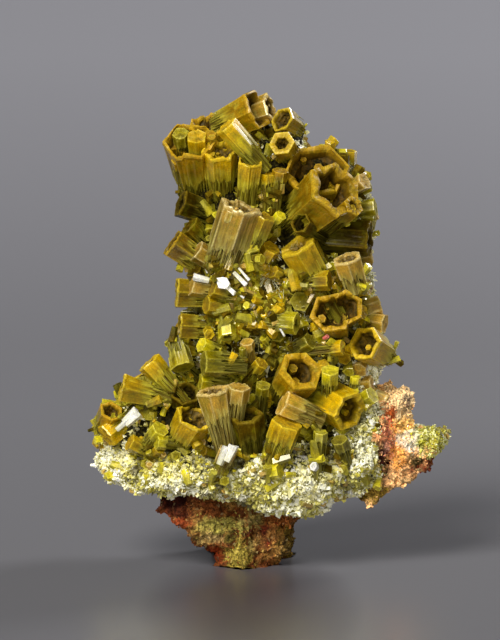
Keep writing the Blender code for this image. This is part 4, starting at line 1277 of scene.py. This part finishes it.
# The small blocks on the crystals' stalks: tone, how many to a square millimetre, the heights they
# lie between, and their smallest and largest radius
STALK_BLOCKS = [
    ("gold", 0.6, 8, SKY, (0.18, 0.55)),
    ("olive", 1.2, 8, SKY, (0.15, 0.55)),
    ("lemon", 0.7, 8, SKY, (0.12, 0.45)),
    ("dark", 1.4, 8, SKY, (0.15, 0.50)),
    ("cream", 0.4, 8, SKY, (0.10, 0.36)),
    ("gold", 2.4, 23, 32, (0.16, 0.65)),
    ("lemon", 3.4, 23, 32, (0.14, 0.60)),
    ("cream", 3.0, 23, 32, (0.10, 0.42)),
    ("dark", 3.6, 23, 32, (0.14, 0.55)),
    ("white", 2.0, 24, 32, (0.06, 0.22)),
]

# Patches of the front where the druse is palest, as the view shows them: centre across and up,
# then half sizes. They are partly the druse's own white grains and partly a painted highlight, where
# light falls on the tower's right edges and top.
PALE_PATCHES = [
    (6.1, 9.0, 2.2, 2.2),
    (13.4, 22.5, 1.8, 6.5),
    (13.0, 17.0, 1.8, 1.8),
    (10.6, 13.0, 2.2, 3.2),
    (11.6, 18.4, 1.4, 2.6),
    (0.5, 12.2, 2.4, 1.0),
    (4.6, 42.8, 1.6, 2.4),
    (2.0, 46.6, 1.2, 1.4),
    (12.8, 31.0, 1.6, 3.6),
    (13.6, 25.5, 1.8, 3.6),
    (12.2, 36.5, 1.2, 2.0),
    (-8.0, 9.5, 2.5, 1.2),
    (-13.5, 11.0, 1.8, 1.2),
    (-2.2, 28.6, 1.6, 1.2),
    (-5.2, 23.0, 1.6, 2.0),
]

# White blocks of the front whose white is a painted highlight, for glints of light on glassy plates:
# centre across, up and back, lean and face in degrees, radius and length
HIGHLIGHT_FACETS = [
    (-11.0, 15.9, -7.4, 48, 2, 0.70, 1.8),
    (-11.5, 15.5, -7.6, 50, 0, 0.34, 2.2),
    (-1.6, 12.6, -10.4, 26, 2, 0.55, 1.7),
    (-2.3, 12.5, -10.4, 22, 2, 0.45, 1.9),
    (-2.7, 28.7, -9.0, -60, 66, 0.72, 0.5),
    (-2.1, 28.3, -9.1, 128, 14, 0.40, 1.5),
    (-1.5, 27.6, -9.1, 132, 10, 0.30, 1.7),
    (-0.4, 28.4, -8.8, 136, 8, 0.26, 1.8),
    (-0.1, 28.9, -8.8, 140, 8, 0.16, 1.6),
    (-5.6, 29.3, -7.7, -76, 8, 0.40, 1.6),
    (6.2, 10.6, -10.6, -60, 42, 0.50, 0.5),
    (3.4, 23.4, -8.6, 150, 6, 0.12, 2.4),
]

# A red grain of the front: centre across, up and back, lean and face in degrees, radius and length
RED_GRAIN = (7.65, 23.4, -9.0, 60, 40, 0.24, 0.6)

# Where limonite shows through the crust: how far across it starts in the view, its middle height,
# how far it reaches below and above that, and how far back
ROCKY_FROM = 12.4
ROCKY_MIDDLE = 13.0
ROCKY_BELOW = 6.0
ROCKY_ABOVE = 5.0
ROCKY_BACK = 3.0

# The rock's green tip: how far across it starts in the view, at which height, and its lowest height
GREEN_FROM = 16.3
GREEN_MIDDLE = 13.5
GREEN_ABOVE = 11.2

# The crumbs' colours: the seed and the reach of how they blur from zone to zone
ZONE_SEED = 5
ZONE_BLUR = 0.45

# The rock's two colours, where it turns from the first to the second, across, and its zones of
# other colours as the view shows them: centre across and up, then half sizes and colour
RUST = "6E3C18"
ORANGE = "F4BC7C"
ORANGE_ROCK = 10.5
ROCK_ZONES = [
    (-6.4, 6.6, 3.4, 2.0, "64301A"),
    (-7.6, 7.2, 1.4, 1.2, "2C0E08"),
    (-4.6, 6.2, 1.6, 1.2, "8E5228"),
    (-6.8, 4.7, 2.2, 0.5, "944420"),
    (-3.2, 4.4, 2.8, 0.9, "A89C48"),
    (-3.4, 1.9, 1.1, 1.3, "8E3816"),
    (-4.0, 3.2, 1.6, 0.5, "A48A54"),
    (-1.1, 1.4, 1.2, 2.0, "B09C40"),
    (-2.0, 3.2, 0.7, 0.9, "625620"),
    (1.4, 2.9, 1.5, 1.6, "6E2E16"),
    (2.4, 2.0, 0.5, 0.6, "A07034"),
    (0.2, 2.4, 0.4, 1.0, "A8904C"),
    (0.6, 3.2, 0.5, 0.8, "3E180E"),
    (3.9, 2.8, 1.1, 2.6, "70581C"),
    (3.4, 2.4, 0.4, 1.3, "241806"),
    (3.0, 5.2, 2.0, 0.7, "AC6630"),
    (0.2, 5.0, 1.2, 0.7, "988848"),
    (15.1, 16.4, 2.0, 2.4, "FFDCA0"),
    (15.6, 16.9, 0.4, 0.8, "7E6A54"),
    (14.0, 15.6, 0.5, 0.7, "C8642C"),
    (13.5, 13.4, 1.1, 1.4, "F49A72"),
    (15.6, 14.2, 1.6, 1.0, "FCCC70"),
    (13.3, 12.0, 0.8, 0.9, "F4AE90"),
    (16.1, 12.9, 1.6, 1.3, "FFF4DA"),
    (15.0, 11.2, 0.8, 1.6, "F4AC56"),
    (18.2, 13.3, 1.9, 1.5, "B0AC1C"),
    (18.2, 10.4, 2.2, 1.0, "843A1C"),
    (16.6, 10.9, 0.9, 0.5, "5A4A24"),
    # Painted shade: the dark of a hollow, low on the left of the right lump
    (12.5, 10.2, 1.3, 2.9, "3E1A10"),
    (15.2, 8.8, 1.3, 0.9, "F0C080"),
    (12.4, 7.6, 1.9, 0.8, "8A7022"),
]


def build_crystal_pieces():
    """One piece for each tone of each crystal's node. Returns the materials by tone."""
    looks = {tone: crystal_material(tone) for tone in CRYSTAL_COLOURS}
    for node in dict.fromkeys(crystal.node for crystal in CRYSTALS):
        members = [crystal for crystal in CRYSTALS if crystal.node == node]
        heaps, sizes = {crystal.tone: Heap() for crystal in members}, []
        for number, crystal in enumerate(members):
            heap, style = heaps[crystal.tone], STYLES.get(node, PLAIN)
            if number:
                style = style._replace(in_wall=0, in_hollow=style.in_hollow // 2)
            before = len(heap.points)
            add_crystal(heap, shape_of(crystal), f"{node} {number}", style, shade=SHADES.get(node))
            sizes.append(len(heap.points) - before)
        if node in JOINED_HOLLOWS:
            open_hollows(heap, sizes, [shape_of(crystal) for crystal in members])
        for tone, heap in heaps.items():
            name = f"{node}_{tone}_crystal"
            add_piece(name, heap.mesh(name, looks[tone]), [node])
    return looks


def pale_share(points):
    """How much each point belongs to a pale patch of the front, 0 to 1."""
    view, share = in_view(points), np.zeros(len(points))
    for patch in PALE_PATCHES:
        share = np.maximum(share, np.clip(1.5 - far_from(view, *patch), 0, 1))
    return share


def build_small_crystals(looks):
    """The small crystals placed by hand and those strewn over the crust. Returns their shapes."""
    small = [shape_of(crystal) for crystal in SMALL_CRYSTALS]
    tones = [crystal.tone for crystal in SMALL_CRYSTALS]
    strewn = scattered_shapes([shape_of(crystal) for crystal in CRYSTALS] + small)
    chance = random.Random(SCATTER_SEED)
    tones += [chance.choice(("gold", "olive", "lemon", "olive", "dark")) for _ in strewn]
    tips = np.array([shape.tip for shape in strewn])
    for number, pale in enumerate(pale_share(tips) > 0.1):
        if pale:
            tones[len(small) + number] = "cream"
    for tone in CRYSTAL_COLOURS:
        heap = Heap()
        for number, (shape, own) in enumerate(zip(small + strewn, tones)):
            if own == tone:
                add_crystal(heap, shape, f"small {number}", PLAIN, detail=0.7)
        if heap.count:
            add_druse(f"small_crystals_{tone}", heap, looks[tone])
    return small + strewn


def build_highlight_facets(looks):
    """The white glassy facets of the front, and its red grain."""
    red = grain_material("limonite_red_grain", [(0.0, "D86A5C"), (0.5, "A83428"), (1.0, "6E120A")])
    for name, look, facets, seed in (("highlight_facets", looks["white"], HIGHLIGHT_FACETS, 200),
                                     ("red_grain", red, [RED_GRAIN], 201)):
        tips = np.array([seen(*facet[:3]) for facet in facets])
        axes = np.array([heading(*facet[3:5]) for facet in facets])
        radius, length = np.array([facet[5:] for facet in facets]).T
        heap = Heap()
        add_blocks(heap, tips, axes, radius, length, seed)
        add_druse(name, heap, look)


def between(low, high):
    """A test of whether points lie between two heights."""
    return lambda points: (points[:, 2] > low) & (points[:, 2] < high)


def strew_blocks(name, look, chance, points, axes, radius, stand, stretch, seed, keep):
    """Blocks that stand on a surface, where keep(tips) allows, as a piece of the druse.

    stand: how far their ends lie above it, least and most, and stretch: their length, as shares of
    their radius.
    """
    axes = unit(axes)
    wide = skewed(chance, len(points), radius, 1.6)
    tips = points + axes * (wide * chance.uniform(*stand, len(points)))[:, None]
    kept = keep(tips)
    heap = Heap()
    add_blocks(heap, tips[kept], axes[kept], wide[kept], wide[kept] * stretch, seed)
    add_druse(name, heap, look)


def build_druse(crust, looks, shapes):
    """The blocks and grains that stand on the crust between the larger crystals."""
    hoppers = [shape for shape in shapes if shape.bore]
    for number, (tone, count, low, high, radius) in enumerate(DRUSE_BLOCKS):
        at, lean, form = (seed + number for seed in BLOCK_SEEDS)
        chance = np.random.default_rng(lean)
        points, normals = surface_samples(crust, count, at, between(low, high))
        allowed = ~is_rocky(points)
        if tone in ("gold", "olive", "dark"):
            allowed &= pale_share(points) < PALE_FROM
        strew_blocks(f"druse_blocks_{tone}_{number}", looks[tone], chance, points,
                     normals * 0.5 + chance.normal(0, 0.75, (len(points), 3)) + [0, 0, 0.25],
                     radius, (0.4, 2.2), 3.2, form,
                     lambda tips: clear_of(hoppers, tips, 0.95) & allowed)

    white = grain_material("druse_white", [(0.0, "FFFDE0"), (0.14, "F8F0AE"), (0.32, "E4DA58"),
                                           (0.50, "C4B82A"), (0.70, "766A18"), (1.0, "2A2206")])
    olive = grain_material("druse_olive", [(0.0, "F6F2C4"), (0.20, "C8BE44"), (0.42, "847A12"),
                                           (0.72, "443C08"), (1.0, "1C1804")])
    everywhere = between(0, SKY)

    def on_pale(points):
        return everywhere(points) & (pale_share(points) > PALE_FROM)
    for number, (name, look, count, where, radius, length) in enumerate((
            ("druse_grains_low", white, 34000, between(0, 12.5), (0.07, 0.34), (0.08, 0.50)),
            ("druse_grains_high", olive, 11000, between(11.5, SKY), (0.06, 0.30), (0.08, 0.60)),
            ("druse_grains_pale", white, 34000, on_pale, (0.05, 0.24), (0.06, 0.45)))):
        at, form, shade = (seed + number for seed in GRAIN_SEEDS)
        points, normals = surface_samples(crust, count, at, where)
        kept = clear_of(hoppers, points + normals * 0.3, 0.95) & ~is_rocky(points)
        points, normals = points[kept], normals[kept]
        heap = Heap()
        tone = druse_tone(points, shade) * (1 - 0.75 * pale_share(points))
        add_grains(heap, points, normals, form, radius, length, tone)
        add_druse(name, heap, look)


def build_stalk_druse(looks, shapes, heads):
    """The small blocks that grow on the larger crystals' stalks."""
    for number, (tone, density, low, high, radius) in enumerate(STALK_BLOCKS):
        at, lean, form = (seed + number for seed in STALK_SEEDS)
        chance = np.random.default_rng(lean)
        points, normals = stalk_samples(shapes, heads, density, at)
        level = between(low, high)(points)
        points, normals = points[level], normals[level]
        axes = normals * [0.5, 0.2, 0.5] + chance.normal(0, 1, (len(points), 3)) * [0.8, 0.35, 0.8]
        strew_blocks(f"stalk_blocks_{tone}_{number}", looks[tone], chance, points, axes, radius,
                     (0.5, 2.4), 3.4, form, lambda tips: clear_of(heads, tips, 1.05))


def build_sprays(crust, shapes):
    """Tufts of pale needles in the gaps of the middle of the tower."""
    pale = grain_material("druse_needles", [(0.0, "FAF8E4"), (0.35, "D8D4A0"), (0.70, "A8A03C"),
                                            (1.0, "6E661C")], 0.3)
    at, form = TUFT_SEEDS
    points, normals = surface_samples(crust, TUFTS, at, between(*TUFT_HEIGHTS))
    front = (normals[:, 1] < 0.3) & clear_of(shapes, points + normals * 0.5, 0.7)
    front &= (points[:, 0] > TUFT_LEFT) & (points[:, 0] < TUFT_RIGHT)
    heap = Heap()
    add_sprays(heap, points[front], normals[front], form, NEEDLES, (0.025, 0.07), (0.7, 2.3))
    add_druse("druse_needles", heap, pale)


def build_rock(ground, crust):
    """The matrix's skin, and the crumbs and green grains on it."""
    rock = matrix_mesh(ground)
    paint_zones(rock)
    add_piece("limonite_surface", rock, ["limonite_matrix"])
    above = between(0.25, SKY)

    def at_tip(points):
        across, up = in_view(points)
        edge = GREEN_FROM + 0.3 * np.abs(up - GREEN_MIDDLE)
        return above(points) & (across > edge) & (up > GREEN_ABOVE)

    def off_tip(points):
        return above(points) & ~at_tip(points)
    lime = grain_material("limonite_green_grains", [(0.0, "FAFABE"), (0.26, "D8D440"),
                                                    (0.62, "98920E"), (1.0, "3E3A08")])
    crumbs = rock_material("limonite_crumbs", crumbs=True)
    for number, (name, look, count, where, radius) in enumerate((
            ("limonite_crumbs", crumbs, 13000, off_tip, (0.06, 0.20)),
            ("limonite_green_grains", lime, 70000, at_tip, (0.05, 0.22)))):
        at, form, shade = (seed + number for seed in CRUMB_SEEDS)
        points, normals = surface_samples(rock, count, at, where)
        if look == crumbs:
            more, their_normals = surface_samples(crust, 24000, CRUST_CRUMB_SEED, is_rocky)
            points, normals = np.concatenate([points, more]), np.concatenate([normals, their_normals])
        heap = Heap()
        add_grains(heap, points, normals, form, radius, (0.05, 0.28), druse_tone(points, shade))
        mesh = heap.mesh(name, look)
        paint_zones(mesh, per_grain=GRAIN_SIDES * 2)
        add_piece(name, mesh, ["limonite_matrix"])


# Stage, light and camera

# The floor and the bank behind it, in metres: half the floor's width, which is also its reach to
# the front, its reach to the back, where the bank starts, and the radius, slope and steps of its curve
FLOOR_HALF = 1.2
FLOOR_BACK = 1.5
BANK_START = 0.10
BANK_RADIUS = 0.20
BANK_SLOPE = math.radians(38)
BANK_STEPS = 8

# How much higher the view shows what lies a millimetre further back, for the floor's shade
FLOOR_RISE = 0.139

# The floor's soft dark patch, a painted reflection and shadow of the specimen, in millimetres: how far
# its middle lies in front, how fast it fades to the front and back and to the sides
SHADE_PATCH_FRONT = 26.0
SHADE_PATCH_FADE_DEEP = 0.035
SHADE_PATCH_FADE_WIDE = 0.10

# The lamps: name, place, size, power and colour
LAMPS = [
    ("key", (-0.22, -0.40, 0.38), 0.26, 4.6, (1.0, 0.98, 0.95)),
    ("rim", (0.34, 0.30, 0.30), 0.16, 2.0, (1.0, 1.0, 1.0)),
    ("fill", (0.02, -0.58, 0.10), 0.20, 1.1, (1.0, 0.97, 0.93)),
]
LIT_POINT = Vector((0, 0, 0.025))


def floor_material():
    """Grey that pales as the front view rises, with a soft dark patch before the foot."""
    look = Shading("studio_grey", Roughness=0.30)
    across, depth, height = look.node("ShaderNodeSeparateXYZ", {0: look.place()}).outputs
    rise = look.plus(height, look.times(depth, FLOOR_RISE))
    # Painted shade: the grey darkens towards the front
    colour = look.ramp(look.level(rise, -12.0, 60.0), [(0.0, "656467"), (1.0, "86868C")])
    square = look.squared(look.times(look.plus(depth, SHADE_PATCH_FRONT), SHADE_PATCH_FADE_DEEP))
    far = look.plus(square, look.squared(look.times(across, SHADE_PATCH_FADE_WIDE)))
    # Painted reflection and shadow of the specimen: a soft dark reddish patch before its foot
    colour = look.mix(look.level(far, 1.25, 0.0, 0.0, 0.75), colour, "2A1E26")
    look.sets("Base Color", colour)
    return look.material


def build_stage():
    """A grey floor that curves up behind the specimen to a low bank, seen over from behind."""
    bm = bmesh.new()
    angles = [BANK_SLOPE * i / BANK_STEPS for i in range(BANK_STEPS + 1)]
    curve = [(BANK_START + BANK_RADIUS * math.sin(a), BANK_RADIUS * (1 - math.cos(a))) for a in angles]
    for profile in ([(-FLOOR_HALF, 0.0)] + curve, [curve[-1], (FLOOR_BACK, curve[-1][1])]):
        rows = [[bm.verts.new((x, y, z)) for x in (-FLOOR_HALF, FLOOR_HALF)] for y, z in profile]
        for low, high in zip(rows, rows[1:]):
            face = bm.faces.new((low[0], low[1], high[1], high[0]))
            face.smooth = True
    mesh = bpy.data.meshes.new("sweep")
    bm.to_mesh(mesh)
    bm.free()
    mesh.materials.append(floor_material())
    sweep = linked("sweep", mesh)


def add_lamp(name, place, size, power, colour):
    """A square lamp that shines on the specimen. The floor and the crystals don't mirror the fill."""
    data = bpy.data.lights.new(name, "AREA")
    data.energy, data.size, data.color = power, size, colour
    light = linked(name, data)
    light.location = place
    light.visible_camera = False
    light.visible_glossy = name != "fill"
    light.rotation_euler = (LIT_POINT - Vector(place)).to_track_quat("-Z", "Y").to_euler()


def build_camera():
    """The photo's camera, tilted down a little."""
    data = bpy.data.cameras.new("camera")
    data.sensor_fit, data.sensor_height, data.lens = "VERTICAL", SENSOR, LENS
    data.clip_start, data.clip_end = 0.01, 10.0
    camera = linked("camera", data)
    aim = seen(0, VIEW_CENTRE, 0) * MM
    camera.location = aim - Vector((0, math.cos(VIEW_TILT), -math.sin(VIEW_TILT))) * VIEW_DISTANCE
    camera.rotation_euler = (math.pi / 2 - VIEW_TILT, 0, 0)
    bpy.context.scene.camera = camera


def build_world():
    """A dim cool grey all round."""
    world = bpy.data.worlds.new("studio")
    world.use_nodes = True
    background = world.node_tree.nodes["Background"].inputs
    background["Color"].default_value = (0.45, 0.46, 0.48, 1.0)
    background["Strength"].default_value = 0.10
    bpy.context.scene.world = world
    bpy.context.scene.view_settings.view_transform = "Standard"


crystal_looks = build_crystal_pieces()
shapes = [shape_of(crystal) for crystal in CRYSTALS] + build_small_crystals(crystal_looks)
styles = [STYLES.get(crystal.node, PLAIN) for crystal in CRYSTALS]
styles += [PLAIN] * (len(shapes) - len(styles))
heads = [head_of(shape, style) for shape, style in zip(shapes, styles)]
rock_ground = rock_material("limonite_ground")
crust_skin = crust_mesh(crust_material(), rock_ground)
add_piece("druse_surface", crust_skin, ["druse_crust"])
build_druse(crust_skin, crystal_looks, shapes)
build_stalk_druse(crystal_looks, shapes, heads)
build_sprays(crust_skin, heads)
build_highlight_facets(crystal_looks)
build_rock(rock_ground, crust_skin)
build_stage()
for lamp in LAMPS:
    add_lamp(*lamp)
build_camera()
build_world()
